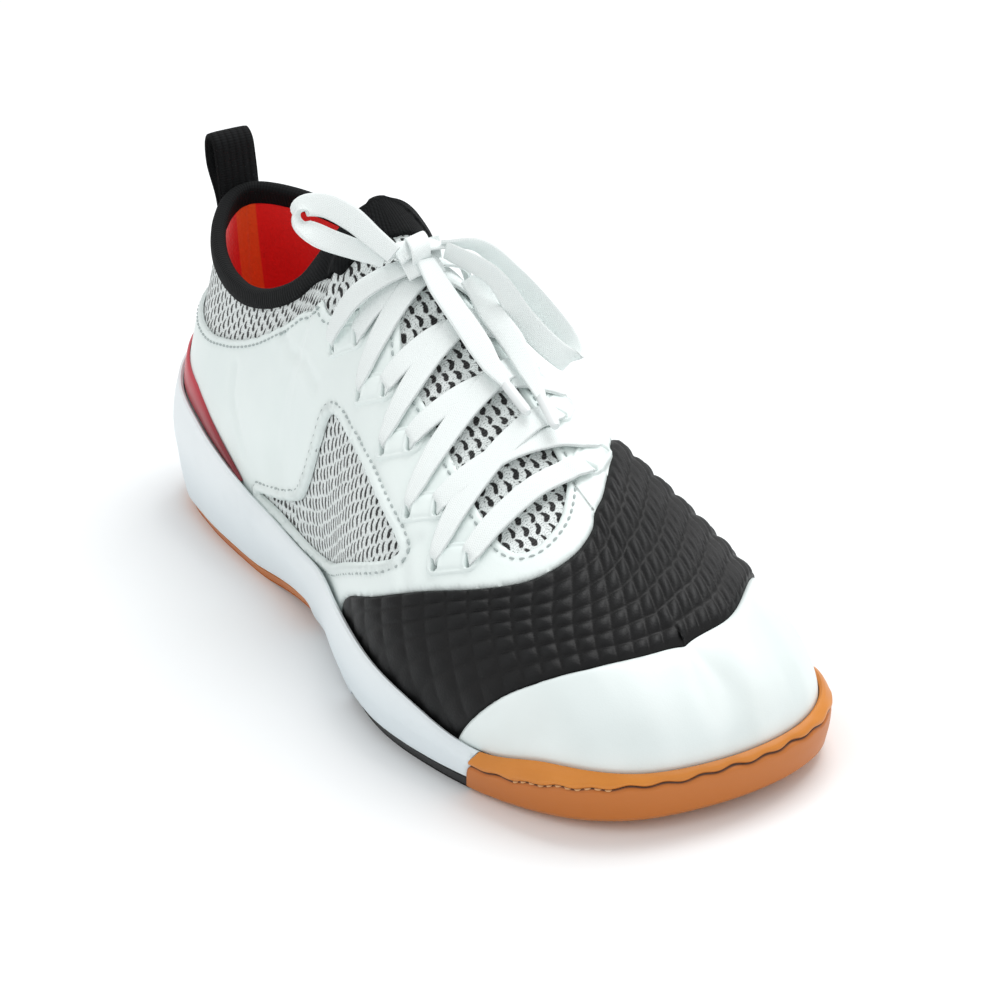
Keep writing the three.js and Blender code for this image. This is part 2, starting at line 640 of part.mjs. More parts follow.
const TAB_TOP = GAP + OVERLAY + TAB;
const toward = (eyelet) => [eyelet.inner[0] - eyelet.outer[0], eyelet.inner[1] - eyelet.outer[1]];
const middle = (eyelet) => [(eyelet.inner[0] + eyelet.outer[0]) / 2, (eyelet.inner[1] + eyelet.outer[1]) / 2];
const eyelets = [...EYELETS, ...INNER_EYELETS];
const tabs = eyelets.map((eyelet) =>
  plug(oblong(chart(middle(eyelet), toward(eyelet)), TAB_LENGTH, TAB_WIDTH), GAP + OVERLAY / 2, TAB_TOP),
);
const slots = eyelets.flatMap((eyelet) =>
  [eyelet.outer, eyelet.inner].map((centre) =>
    plug(oblong(chart(centre, toward(eyelet)), SLOT_WIDTH, SLOT_LENGTH), GAP / 2, TAB_TOP + OVERLAY),
  ),
);
const vents = [VENT_LINE, mirrored(VENT_LINE)].map((line) => plug(line, -PADDED, 2 * PADDED));
const quarterOverlay = bodyAt(
  wasm.Manifold.union([quarterWall, ...tabs]).subtract(wasm.Manifold.union([...slots, ...vents])),
  skin(0.75, 0.3, GAP),
);

// Sole: a tub from the tread up to the cup's rim and down again to the footbed, parted into its pieces.
const CUP_GAP = PADDED + 2 * GAP;
const cupHeight = (around) => side("cup", edge(around, 0)) * CUP_HEIGHT;
function rimUp(around) {
  let [low, high] = [0, 0.9];
  for (let i = 0; i < 30; i += 1) {
    const mid = (low + high) / 2;
    if (skin(around, mid, CUP_GAP).z < cupHeight(around)) low = mid;
    else high = mid;
  }
  return low;
}
// The sole's middle line, shared by both sides.
function middleOf(around, inset, height) {
  const w = Math.abs(around);
  const p = edge(w, inset).add(edge(-w, inset)).divideScalar(2);
  return p.setZ(height(p));
}
const raised = (around, inset, height) => {
  const p = edge(around, inset);
  return p.setZ(height(p));
};
const WALL_ROWS = [0, 0.35, 0.7, 1];
function tubSection(around) {
  const rim = rimUp(around);
  const outside = WALL_ROWS.map((t) =>
    skin(around, rim * t, CUP_GAP + THREE.MathUtils.lerp(CUP_WALL, CUP_LIP, t * t)),
  );
  const inside = WALL_ROWS.map((t) => skin(around, rim * t, CUP_GAP)).toReversed();
  const shoulder = (p) => THREE.MathUtils.lerp(treadLow(p) + TREAD_ROUND, stack(p), 0.5);
  return [
    middleOf(around, TREAD_INSET + TREAD_ROUND, treadLow),
    raised(around, TREAD_INSET + TREAD_ROUND, treadLow),
    raised(around, TREAD_INSET, (p) => treadLow(p) + TREAD_ROUND),
    raised(around, TREAD_INSET / 3, shoulder),
    ...outside,
    ...inside,
    raised(around, FOOT_INSET - CUP_GAP, stack),
    middleOf(around, FOOT_INSET - CUP_GAP, stack),
  ];
}
const tub = solid(loft(turns.map(tubSection), true, false));

// A flat-sided body inside the tub's outline, from one height to another.
function core(inset, low, high) {
  const section = (around) => [
    middleOf(around, inset, low),
    raised(around, inset, low),
    raised(around, inset, high),
    middleOf(around, inset, high),
  ];
  return solid(loft(turns.map(section), true, false));
}

// What lies under the tread's upper face between two places along the shoe.
const UNDER = 20;
function treadZone(start, end, extra) {
  const sections = spread(start, end, 12).map((along) => {
    const top = treadLow(place(0, along, 0)) + TREAD + extra;
    const corner = (aside, height) => place(aside, along, height);
    return [corner(-LENGTH, -UNDER), corner(LENGTH, -UNDER), corner(LENGTH, top), corner(-LENGTH, top)];
  });
  return sweep(sections);
}
const frontWay = new THREE.Vector3(0, -1, -BUMPER_SLANT).normalize();
const frontPlane = (gap) => place(0, BUMPER_START, 0).dot(frontWay) + gap / 2;
const front = tub.trimByPlane(frontWay.toArray(), frontPlane(GAP));
const rearSole = tub.trimByPlane(frontWay.clone().negate().toArray(), -frontPlane(-GAP));
const aboveTread = (extra) => (p) => treadLow(p) + TREAD + extra;
const bumperShell = front.subtract(core(CUP_WALL, aboveTread(0), (p) => stack(p) + GAP));
const platform = core(CUP_WALL + GAP, aboveTread(GAP), stack).trimByPlane(
  frontWay.toArray(),
  frontPlane(0) - 4 * GAP - CUP_WALL,
);
const heelZone = (extra) => treadZone(-UNDER, HEEL_TREAD_END + extra, extra);
const foreZone = (extra) => treadZone(FORE_TREAD_START - extra, LENGTH + UNDER, extra);
const midsole = rearSole.subtract(heelZone(GAP).add(foreZone(GAP))).add(platform);
const outsoleHeel = rearSole.intersect(heelZone(0));
const flexGrooves = spread(0, FLEX_ROWS - 1, FLEX_ROWS - 1).map((i) => {
  const along = (FORE_TREAD_START + BUMPER_START) / 2 + (i - (FLEX_ROWS - 1) / 2) * FLEX_PITCH;
  const middleOfGroove = place(0, along, 0);
  return wasm.Manifold.cube([2 * BALL_WIDTH, FLEX_WIDTH, 2 * FLEX_DEPTH], true).translate(
    middleOfGroove.setZ(treadLow(middleOfGroove)).toArray(),
  );
});
const outsoleForefoot = rearSole.intersect(foreZone(0)).subtract(wasm.Manifold.union(flexGrooves));
// The seam round the bumper is a step cut in its side.
const seamSection = (around) => {
  const height = (lift) => (p) => treadLow(p) + GROOVE_HEIGHT + lift;
  const reach = TREAD_INSET / 3;
  return [
    raised(around, reach + GROOVE_DEPTH - TREAD_INSET / 3, height(0)),
    raised(around, -CUP_WALL, height(GROOVE_WIDTH)),
    raised(around, -CUP_WALL, height(-GROOVE_WIDTH)),
  ];
};
const seam = sweep(ring.filter((a) => Math.abs(a) <= 0.27).map(seamSection));
const outsoleToe = bodyAt(bumperShell.subtract(seam), place(TOE_SHIFT, LENGTH, FORE_STACK));

// Insole, a plate inside the knit wall.
function insoleSection(around) {
  const inset = -KNIT - 2 * GAP;
  const high = (p) => stack(p) + GAP + INSOLE;
  const low = skin(around, 0, inset);
  const next = skin(around, ROWS[1], inset);
  const rise = low.clone().lerp(next, INSOLE / (next.z - low.z));
  const lowMiddle = middleOf(around, FOOT_INSET - inset, (p) => stack(p) + GAP);
  const topMiddle = lowMiddle.clone().setZ(high(lowMiddle));
  return [lowMiddle, low.setZ(stack(low) + GAP), rise.setZ(high(rise)), topMiddle];
}
const insole = solid(loft(turns.map(insoleSection), true, false));

// Trim, a strip that tapers to a tip on either side of the heel, just above the cup's rim.
const TRIM_TIP = 0.7;
const TRIM_LOW = GAP + OVERLAY + GAP;
function trimSection(around) {
  const taper = Math.min((Math.abs(around) - TRIM_TIP) / 0.12, 1);
  const from = rimUp(around) + 0.012;
  const to = from + 0.004 + (TRIM_WIDTH * taper) / (skin(around, 1, 0).z - skin(around, 0, 0).z);
  return [
    skin(around, from, TRIM_LOW),
    skin(around, from, TRIM_LOW + TRIM),
    skin(around, to, TRIM_LOW + TRIM),
    skin(around, to, TRIM_LOW),
  ];
}
const heelHalf = half.filter((a) => a >= TRIM_TIP);
const heelRing = [...heelHalf, ...heelHalf.slice(0, -1).map((a) => -a).toReversed()];
const heelTrim = sweep(heelRing.map(trimSection));

// Corners of a flat section, as shares of half its width and half its thickness
const SQUARE = [
  [1, 1],
  [-1, 1],
  [-1, -1],
  [1, -1],
];
const ROUNDED = [
  [1, 0.4],
  [0.86, 1],
  [-0.86, 1],
  [-1, 0.4],
  [-1, -0.4],
  [-0.86, -1],
  [0.86, -1],
  [1, -0.4],
];
// A flat strap along a route: width lies along a given way, thickness across it.
function strap(route, widthWays, width, thickness, steps, shape = SQUARE) {
  const path = new THREE.CatmullRomCurve3(route, false, "centripetal");
  const ways = new THREE.CatmullRomCurve3(widthWays, false, "centripetal");
  const sections = spread(0, 1, steps).map((t) => {
    const tangent = path.getTangent(t);
    const across = ways.getPoint(t).projectOnPlane(tangent).normalize();
    const out = tangent.clone().cross(across);
    const corner = (x, y) =>
      path.getPoint(t).addScaledVector(across, (x * width) / 2).addScaledVector(out, (y * thickness) / 2);
    return shape.map(([x, y]) => corner(x, y));
  });
  return sweep(sections);
}

// Lace over the throat: flat strands from eyelet to eyelet, clear of the tabs, joined where they cross.
const LIFT = TAB_TOP + 2 * GAP + LACE / 2;
function strand(from, to, lift) {
  const share = (1 - from[1]) / (2 - from[1] - to[1]);
  const ridge = THREE.MathUtils.lerp(Math.abs(from[0]), Math.abs(to[0]), share);
  const leg = (end, t) => [
    THREE.MathUtils.lerp(end[0], Math.sign(end[0]) * ridge, t),
    THREE.MathUtils.lerp(end[1], 1, t),
  ];
  const stops = [from, leg(from, 0.5), [ridge, 1], leg(to, 0.5), to];
  const route = stops.map(([a, u]) => skin(a, u, lift));
  const outs = stops.map(([a, u]) => normal(...named(a, u)));
  const curve = new THREE.CatmullRomCurve3(route, false, "centripetal");
  const ways = outs.map((out, i) => curve.getTangent(i / (stops.length - 1)).cross(out));
  return strap(route, ways, LACE_WIDTH, LACE, 7);
}
function link(eyelet) {
  const stops = [eyelet.outer, middle(eyelet), eyelet.inner];
  const route = stops.map(([a, u]) => skin(a, u, LIFT));
  const way = route[2].clone().sub(route[0]).normalize();
  const ways = stops.map(([a, u]) => way.clone().cross(normal(a, u)));
  return strap(route, ways, LACE_WIDTH, LACE, 1);
}
const last = EYELETS.length - 1;
const crossings = [
  strand(EYELETS[last].inner, INNER_EYELETS[last].inner, LIFT),
  ...EYELETS.slice(1).flatMap((eyelet, k) => [
    strand(eyelet.outer, INNER_EYELETS[k].inner, LIFT),
    strand(INNER_EYELETS[k + 1].outer, EYELETS[k].inner, LIFT),
  ]),
  ...eyelets.map(link),
];
const laceCrossings = wasm.Manifold.union(crossings);

const KNOT_SIZE = [15, 10, 8];
const KNOT_SEAT = [0.53, 0.98];
const KNOT_LIFT = 3.8;
// Knot, bow and ends of the lace. Each route is a list of places in millimetres, chosen by hand.
const knotPlace = skin(...KNOT_SEAT, LIFT + LACE / 2 + KNOT_LIFT);
const knot = wasm.Manifold.sphere(0.5, 16).scale(KNOT_SIZE).translate(knotPlace.toArray());
const cord = (points, way, steps) => {
  const route = points.map((p) => new THREE.Vector3(...p));
  return strap(route, points.map(() => new THREE.Vector3(...way)), LACE_WIDTH, LACE, steps, ROUNDED);
};
const OUTER_LOOP = [
  [-6.6, -92.7, 108.4],
  [-9.5, -88, 112.5],
  [-12.5, -82, 118],
  [-17, -76, 121.5],
  [-21.5, -71.5, 120.5],
  [-22.5, -70.5, 116.5],
  [-18.5, -74, 112.5],
  [-12, -81.5, 108.8],
  [-7.4, -88.5, 106.4],
];
const INNER_LOOP = [
  [8.1, -92.9, 108.2],
  [16.8, -98.5, 107.4],
  [23.5, -104.5, 99],
  [29.5, -110.5, 89],
  [33, -116.5, 80.5],
  [31.5, -121, 77],
  [27, -121.5, 80.5],
  [20.5, -116.5, 89.5],
  [15.6, -108.5, 101.5],
  [8.3, -94.9, 107.1],
];
const OUTER_END = [
  [1.8, -94.8, 105.5],
  [1.9, -103.2, 99.9],
  [2.4, -110, 95.8],
  [2.8, -116.3, 92.4],
  [2.8, -123.4, 88.8],
  [2.8, -130.1, 85.2],
  [3.4, -136.5, 82],
];
const INNER_END = [
  [11.4, -101.4, 99.9],
  [12.9, -105, 96.3],
  [12.7, -111, 92.8],
  [13, -121.8, 88],
  [11.9, -133.1, 83.1],
  [10.5, -142.9, 78.7],
];
const aglet = (points, length) => {
  const tip = new THREE.Vector3(...points.at(-1));
  const way = tip.clone().sub(new THREE.Vector3(...points.at(-2))).normalize();
  const start = tip.clone().addScaledVector(way, GAP);
  const end = start.clone().addScaledVector(way, length);
  const across = new THREE.Vector3(1, 0, 0).projectOnPlane(way).normalize();
  return strap([start, end], [across, across], AGLET, AGLET * 0.8, 1);
};

// Pull loop: webbing that rises from the heel's back, folds over and comes down again.
function pullLoopRoute() {
  const foot = skin(1, 0.8, 0);
  const reach = (height, out) => new THREE.Vector3(COLLAR_SHIFT, foot.y + out, height);
  const clear = COLLAR_ROLL + 2 * GAP + WEBBING / 2;
  const back = clear + WEBBING + GAP;
  const bend = LOOP_DEPTH / 2;
  return [
    reach(LOOP_FOOT, clear),
    reach(LOOP_FOOT + LOOP_STRAIGHT, clear),
    reach(LOOP_TOP - LOOP_BEND, clear),
    reach(LOOP_TOP - bend / 2, clear + 1),
    reach(LOOP_TOP, clear + bend),
    reach(LOOP_TOP - bend / 2, clear + 2 * bend - 1),
    reach(LOOP_TOP - LOOP_BEND, clear + 2 * bend),
    reach(LOOP_FOOT + LOOP_STRAIGHT, back + 1),
    reach(LOOP_FOOT, back),
  ];
}
const loopRoute = pullLoopRoute();
const across = new THREE.Vector3(1, 0, 0);
const pullLoop = strap(loopRoute, loopRoute.map(() => across), LOOP_WIDTH, WEBBING, 20);

const LOOKS = {
  knit: { color: "#e6efee", roughness: 0.9, metalness: 0 },
  overlay: { color: "#e4efee", roughness: 0.5, metalness: 0 },
  toe: { color: "#dbe7e6", roughness: 0.45, metalness: 0 },
  band: { color: "#16181b", roughness: 0.55, metalness: 0 },
  collar: { color: "#16181b", roughness: 0.85, metalness: 0 },
  trim: { color: "#b3303c", roughness: 0.5, metalness: 0 },
  foam: { color: "#d6e5ef", roughness: 0.6, metalness: 0 },
  gum: { color: "#ce7a2e", roughness: 0.5, metalness: 0 },
  tread: { color: "#1b1c1e", roughness: 0.6, metalness: 0 },
  lining: { color: "#bc0202", roughness: 0.9, metalness: 0 },
  lace: { color: "#ebf4f3", roughness: 0.85, metalness: 0 },
  aglet: { color: "#eef4f4", roughness: 0.3, metalness: 0 },
};

const shoe = new THREE.Group();
function add(name, made, look) {
  const { vertProperties, numProp, triVerts } = made.getMesh();
  const places = new Float32Array((vertProperties.length / numProp) * 3);
  for (let i = 0; i < places.length / 3; i += 1) {
    places.set(vertProperties.subarray(i * numProp, i * numProp + 3), i * 3);
  }
  const geometry = new THREE.BufferGeometry();
  geometry.setAttribute("position", new THREE.BufferAttribute(places, 3));
  geometry.setIndex(new THREE.BufferAttribute(triVerts, 1));
  geometry.computeVertexNormals();
  const mesh = new THREE.Mesh(geometry, new THREE.MeshStandardMaterial(LOOKS[look]));
  mesh.name = name;
  shoe.add(mesh);
}

add("upper", upper, "knit");
add("collar_band", collarBand, "collar");
add("quarter_overlay", quarterOverlay, "overlay");
add("vamp_band", vampBand, "band");
add("toe_overlay", toeOverlay, "toe");
add("heel_trim", heelTrim, "trim");
add("insole", insole, "lining");
add("midsole", midsole, "foam");
add("outsole_heel", outsoleHeel, "gum");
add("outsole_forefoot", outsoleForefoot, "tread");
add("outsole_toe", outsoleToe, "gum");
add("pull_loop", pullLoop, "band");
add("lace_crossings", laceCrossings, "lace");
add("lace_knot", knot, "lace");
add("lace_loop_outer", cord(OUTER_LOOP, [0.6, 0.2, 0.75], 16), "lace");
add("lace_loop_inner", cord(INNER_LOOP, [0.3, -0.8, 0.5], 16), "lace");
add("lace_end_outer", cord(OUTER_END, [1, 0, 0], 8), "lace");
add("lace_end_inner", cord(INNER_END, [1, 0, 0], 8), "lace");
add("aglet_outer", aglet(OUTER_END, AGLET_LENGTH), "aglet");
add("aglet_inner", aglet(INNER_END, AGLET_LENGTH), "aglet");

export default shoe;
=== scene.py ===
"""Indoor football shoe for the right foot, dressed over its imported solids.

Every panel is laid on one skin over the last. The skin's sizes are those of the part, in millimetres, and a
mesh is turned to metres only when it is made.
"""

from __future__ import annotations

import logging
import math
from collections.abc import Callable
from dataclasses import dataclass, field
from enum import Enum

import bmesh
import bpy
import numpy as np
from mathutils import Matrix, Vector
from mathutils.bvhtree import BVHTree
from mathutils.kdtree import KDTree

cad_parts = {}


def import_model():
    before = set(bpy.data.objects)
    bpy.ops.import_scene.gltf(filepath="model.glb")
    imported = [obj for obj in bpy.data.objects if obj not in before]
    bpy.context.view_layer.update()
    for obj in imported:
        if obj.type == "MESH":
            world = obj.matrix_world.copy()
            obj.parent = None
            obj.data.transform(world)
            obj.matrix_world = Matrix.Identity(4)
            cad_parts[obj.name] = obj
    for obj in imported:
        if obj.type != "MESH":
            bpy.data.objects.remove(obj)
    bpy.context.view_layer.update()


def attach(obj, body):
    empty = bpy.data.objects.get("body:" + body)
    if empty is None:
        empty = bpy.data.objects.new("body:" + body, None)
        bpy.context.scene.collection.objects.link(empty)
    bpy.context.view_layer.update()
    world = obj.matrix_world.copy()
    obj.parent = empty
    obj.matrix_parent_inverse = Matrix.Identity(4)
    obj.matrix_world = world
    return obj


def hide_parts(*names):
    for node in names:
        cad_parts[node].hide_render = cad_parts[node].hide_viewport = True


LOG = logging.getLogger("shoe")
MM = 0.001

# Overall sizes of the last and the sole, as in the part
LENGTH = 289.0
BALL_WIDTH = 105.0
HEEL_REST = 45.0
TOE_SHIFT = 9.0
TOE_SPRING = 4.0
ARCH_RISE = 5.0
INSTEP_TOP = 114.0
RIDGE_SHIFT = 7.0
COLLAR_WIDTH = 50.0
COLLAR_SHIFT = 3.0
HEEL_STACK = 20.0
FORE_STACK = 11.0
TREAD = 4.0
TREAD_INSET = 1.8
TREAD_ROUND = 1.5
CUP_HEIGHT = 46.0
CUP_WALL = 3.4
CUP_LIP = 1.6
HEEL_TREAD_END = 133.0
FORE_TREAD_START = 177.0
BUMPER_START = 238.0
BUMPER_SLANT = 0.45
GROOVE_HEIGHT = 12.0
INSOLE = 3.5
KNIT = 2.0
OVERLAY = 1.4
PADDED = 2.2
GAP = 0.3
TONGUE_TIP = 0.6
HEEL_TURN = 0.505
FOOT_INSET = CUP_WALL + GAP + PADDED + GAP
CUP_GAP = PADDED + 2 * GAP
LACE_WIDTH = 7.0
LACE = 1.2
AGLET_LENGTH = 11.0
TAB_LENGTH = 15.0
TAB_WIDTH = 9.0
LOOP_WIDTH = 14.0
LOOP_TOP = 106.0
LOOP_FOOT = 74.0
LOOP_DEPTH = 8.0
WEBBING = 1.8

# Sizes of the scene alone, in millimetres, and counts
MERGE = 0.02
STRAP_SIDES = 16
STRAP_POWERS = (0.7, 0.35)
AGLET = 2.3
BUMPER_ROWS = 56
WALL_ROWS = 26
ROW_RISE = 0.12
STEP_RUN = 1.5
FRONT = (0.0, -1.0, -BUMPER_SLANT)
FILM_TOP = GAP + OVERLAY
VENT_SEAM = 3.2
OPENING_SEAM = 2.2
COLLAR_PUFF = 0.5
COLLAR_BACK = 0.7
COLLAR_MAP = 12
SLOT_DEPTH = 2.2
BOW_PINCH = 5.4
TAB_CORNER = 3.2
TAB_HOLE = 1.5
SNAP = 2.6
# The tread's edge, from its lower face up: inset and height
TREAD_PROFILE = [
    (TREAD_INSET + TREAD_ROUND, 0), (3.6, 0.15), (3.15, 0.6), (2.95, 1.4), (2.3, 2.6), (1.9, 3.7), (2.3, 4.0),
]
# The heel strip's face: share of its height, and of its thickness
STRIP_PROFILE = [(0, 0), (0.02, 0.6), (0.12, 1), (0.5, 1.12), (0.88, 1), (0.98, 0.6), (1, 0)]

# Plan of the tread: share of LENGTH from the heel's back, outer and inner half widths as shares of BALL_WIDTH
PLAN = [
    (0.03, 0.22, 0.205),
    (0.09, 0.352, 0.325),
    (0.175, 0.39, 0.352),
    (0.28, 0.395, 0.345),
    (0.38, 0.386, 0.325),
    (0.49, 0.408, 0.345),
    (0.59, 0.468, 0.415),
    (0.69, 0.497, 0.488),
    (0.78, 0.468, 0.517),
    (0.85, 0.42, 0.51),
    (0.91, 0.355, 0.475),
    (0.955, 0.27, 0.41),
    (0.986, 0.145, 0.29),
]
# Ridge over the foot, by share of the way round: its place along and its height, its shift to one side, the
# turn of a column as it arrives, and how far the column's two handles reach
RIDGE = [
    (0, 0.905, 0.34, 1, 90, 0.5, 0.5),
    (0.04, 0.9, 0.35, 1, 66, 0.5, 0.5),
    (0.08, 0.89, 0.364, 1, 44, 0.5, 0.5),
    (0.12, 0.874, 0.384, 1, 26, 0.5, 0.5),
    (0.16, 0.85, 0.41, 1, 12, 0.52, 0.5),
    (0.2, 0.82, 0.44, 1, 4, 0.54, 0.5),
    (0.28, 0.742, 0.52, 1, 0, 0.56, 0.5),
    (0.36, 0.652, 0.622, 0.9, 0, 0.54, 0.5),
    (0.44, 0.558, 0.741, 0.7, 0, 0.5, 0.46),
    (0.5, 0.488, 0.835, 0.5, 4, 0.46, 0.43),
    (0.55, 0.432, 0.908, 0.4, 10, 0.42, 0.4),
    (0.6, 0.381, 1, 0.3, 20, 0.4, 0.38),
]
# Collar's edge in the same way, with its half width aside, how much higher the inner side stands, and the
# lean of a column there
COLLAR = [
    (0.57, 0.378, 0.975, -0.27, 0.7, -0.003, 2, 54, 0.4, 0.39),
    (0.6, 0.381, 1, 0, 0.7, 0, 20, 54, 0.4, 0.33),
    (0.63, 0.378, 0.975, 0.27, 0.7, 0.003, 38, 48, 0.39, 0.25),
    (0.66, 0.366, 0.905, 0.52, 0.72, 0.01, 56, 38, 0.38, 0.265),
    (0.7, 0.332, 0.795, 0.77, 0.8, 0.018, 78, 26, 0.38, 0.3),
    (0.74, 0.28, 0.725, 0.92, 0.85, 0.026, 88, 17, 0.38, 0.3),
    (0.78, 0.222, 0.69, 0.99, 0.95, 0.034, 90, 13, 0.38, 0.3),
    (0.82, 0.165, 0.688, 0.96, 1, 0.038, 90, 12, 0.38, 0.3),
    (0.86, 0.112, 0.703, 0.84, 1, 0.04, 90, 12, 0.38, 0.3),
    (0.9, 0.068, 0.727, 0.65, 1, 0.034, 90, 11, 0.38, 0.3),
    (0.94, 0.035, 0.75, 0.42, 1, 0.024, 90, 9, 0.38, 0.3),
    (0.97, 0.017, 0.768, 0.21, 1, 0.012, 90, 6, 0.38, 0.3),
    (1, 0.011, 0.778, 0, 1, 0, 90, 4, 0.38, 0.3),
    (1.03, 0.017, 0.768, -0.21, 1, -0.012, 90, 6, 0.38, 0.3),
]
# Sole's side by place along: shares of the stack and the cup's height, the upper's flare, the arch's rise and
# the toe's spring
SIDE = [
    (0, 1, 1, 0.12, 0, 0),
    (0.1, 1, 0.87, 0.14, 0, 0),
    (0.2, 0.98, 0.72, 0.1, 0, 0),
    (0.32, 0.86, 0.56, 0.05, 0, 0),
    (0.42, 0.68, 0.485, 0.05, 0.7, 0),
    (0.5, 0.48, 0.52, 0.1, 1, 0),
    (0.57, 0.25, 0.555, 0.16, 0.6, 0),
    (0.64, 0.08, 0.53, 0.24, 0, 0),
    (0.74, 0, 0.42, 0.28, 0, 0),
    (0.84, 0, 0.29, 0.26, 0, 0.12),
    (0.92, 0, 0.375, 0.2, 0, 0.5),
    (1, 0, 0.355, 0.16, 0, 1),
]
# Lines between the panels, each a list of (around, up)
TOE_LINE = [
    (0.262, -0.06), (0.255, 0), (0.244, 0.064), (0.224, 0.176), (0.202, 0.29), (0.179, 0.387), (0.146, 0.525),
    (0.11, 0.68), (0.051, 0.87), (0, 0.92), (-0.045, 0.897), (-0.084, 0.82), (-0.111, 0.73), (-0.146, 0.627),
    (-0.18, 0.53), (-0.21, 0.43), (-0.235, 0.32), (-0.255, 0.19), (-0.267, 0.08), (-0.272, 0),
    (-0.276, -0.06),
]
BAND_LINE = [
    (0.475, -0.06), (0.46, 0), (0.436, 0.135), (0.368, 0.277), (0.319, 0.399), (0.271, 0.532), (0.242, 0.652),
    (0.231, 0.759), (0.232, 0.867), (0.246, 0.96), (0.26, 1), (-0.277, 0.919), (-0.316, 0.78), (-0.362, 0.62),
    (-0.4, 0.45), (-0.43, 0.25), (-0.46, 0), (-0.475, -0.06),
]
OPENING_LINE = [
    (1, 0.62), (0.94, 0.622), (0.88, 0.632), (0.827, 0.651), (0.794, 0.701), (0.742, 0.776), (0.71, 0.8),
    (0.67, 0.747), (0.625, 0.655), (0.585, 0.605), (0.566, 0.66), (0.552, 0.716), (0.532, 0.8), (0.514, 0.83),
    (0.494, 0.79), (0.466, 0.735), (0.415, 0.735), (0.36, 0.718), (0.313, 0.69), (0.283, 0.68), (0.266, 0.7),
    (0.258, 0.76), (0.261, 0.83), (0.27, 0.892), (0.288, 0.955), (0.306, 1), (-0.345, 0.965), (-0.39, 0.93),
    (-0.435, 0.89), (-0.48, 0.86), (-0.514, 0.85), (-0.535, 0.79), (-0.552, 0.716), (-0.566, 0.66),
    (-0.585, 0.605), (-0.625, 0.655), (-0.67, 0.747), (-0.71, 0.8), (-0.742, 0.776), (-0.794, 0.701),
    (-0.827, 0.651), (-0.88, 0.632), (-0.94, 0.622), (-1, 0.62),
]
VENT_LINE = [
    (0.539, 0.43), (0.491, 0.454), (0.417, 0.465), (0.358, 0.44), (0.363, 0.4), (0.436, 0.237), (0.52, 0.095),
    (0.585, 0.052), (0.64, 0.064), (0.671, 0.084), (0.626, 0.108), (0.586, 0.15), (0.566, 0.228),
    (0.552, 0.335),
]
# Creases of the film
CREASES = [
    [(0.7, 0.76), (0.675, 0.66), (0.655, 0.57), (0.604, 0.47), (0.57, 0.45)],
    [(0.76, 0.6), (0.745, 0.45), (0.72, 0.32), (0.7, 0.22)],
    [(0.33, 0.36), (0.35, 0.45), (0.345, 0.5)],
]
# around, up, and the place on the collar's edge above
COLLAR_LINE = [
    (0.565, 1, 0.6), (0.57, 0.92, 0.622), (0.576, 0.843, 0.638), (0.583, 0.764, 0.65), (0.59, 0.71, 0.658),
    (0.604, 0.7, 0.664), (0.63, 0.77, 0.672), (0.661, 0.845, 0.687), (0.68, 0.89, 0.697), (0.7, 0.915, 0.71),
    (0.726, 0.925, 0.73), (0.757, 0.925, 0.758), (0.79, 0.925, 0.79), (0.83, 0.925, 0.83),
    (0.87, 0.925, 0.87), (0.91, 0.925, 0.91), (0.955, 0.925, 0.955), (1, 0.925, 1),
]
# Slots of each eyelet tab, from the top of the throat down: the outer slot, then the one beside the throat
EYELETS = [
    ((0.561, 0.576), (0.531, 0.658)),
    ((0.495, 0.575), (0.467, 0.658)),
    ((0.433, 0.565), (0.41, 0.647)),
    ((0.37, 0.541), (0.348, 0.613)),
    ((0.319, 0.502), (0.294, 0.582)),
]
INNER_EYELETS = [
    ((-0.561, 0.62), (-0.531, 0.7)),
    ((-0.503, 0.655), (-0.478, 0.75)),
    ((-0.452, 0.68), (-0.423, 0.8)),
    ((-0.398, 0.725), (-0.369, 0.855)),
    ((-0.336, 0.776), (-0.309, 0.905)),
]
# The lace's routes, in millimetres
OUTER_LOOP = [
    (-6.6, -92.7, 108.4), (-9.8, -87, 112.6), (-13.5, -80.5, 117.4), (-18.5, -74, 120.3),
    (-23.5, -70.5, 119.6), (-25.3, -72.8, 116.4), (-21.8, -77, 112.9), (-15, -82.8, 109.5),
    (-7.4, -88.5, 106.4),
]
INNER_LOOP = [
    (8.1, -92.9, 108.2), (16.8, -98.5, 107.4), (23.5, -104.5, 99), (29.5, -110.5, 89), (33, -116.5, 80.5),
    (31.5, -121, 77), (27, -121.5, 80.5), (20.5, -116.5, 89.5), (15.6, -108.5, 101.5), (8.3, -94.9, 107.1),
]
OUTER_END = [
    (1.8, -94.8, 105.5), (1.9, -103.2, 99.9), (2.4, -110, 95.8), (2.8, -116.3, 92.4), (2.8, -123.4, 88.8),
    (2.8, -130.1, 85.2), (3.4, -136.5, 82),
]
INNER_END = [
    (11.4, -101.4, 99.9), (12.9, -105, 96.3), (12.7, -111, 92.8), (13, -121.8, 88), (11.9, -133.1, 83.1),
    (10.5, -142.9, 78.7),
]
# The knot's middle, in millimetres
KNOT_AT = np.array([1.3, -90.1, 107.3])
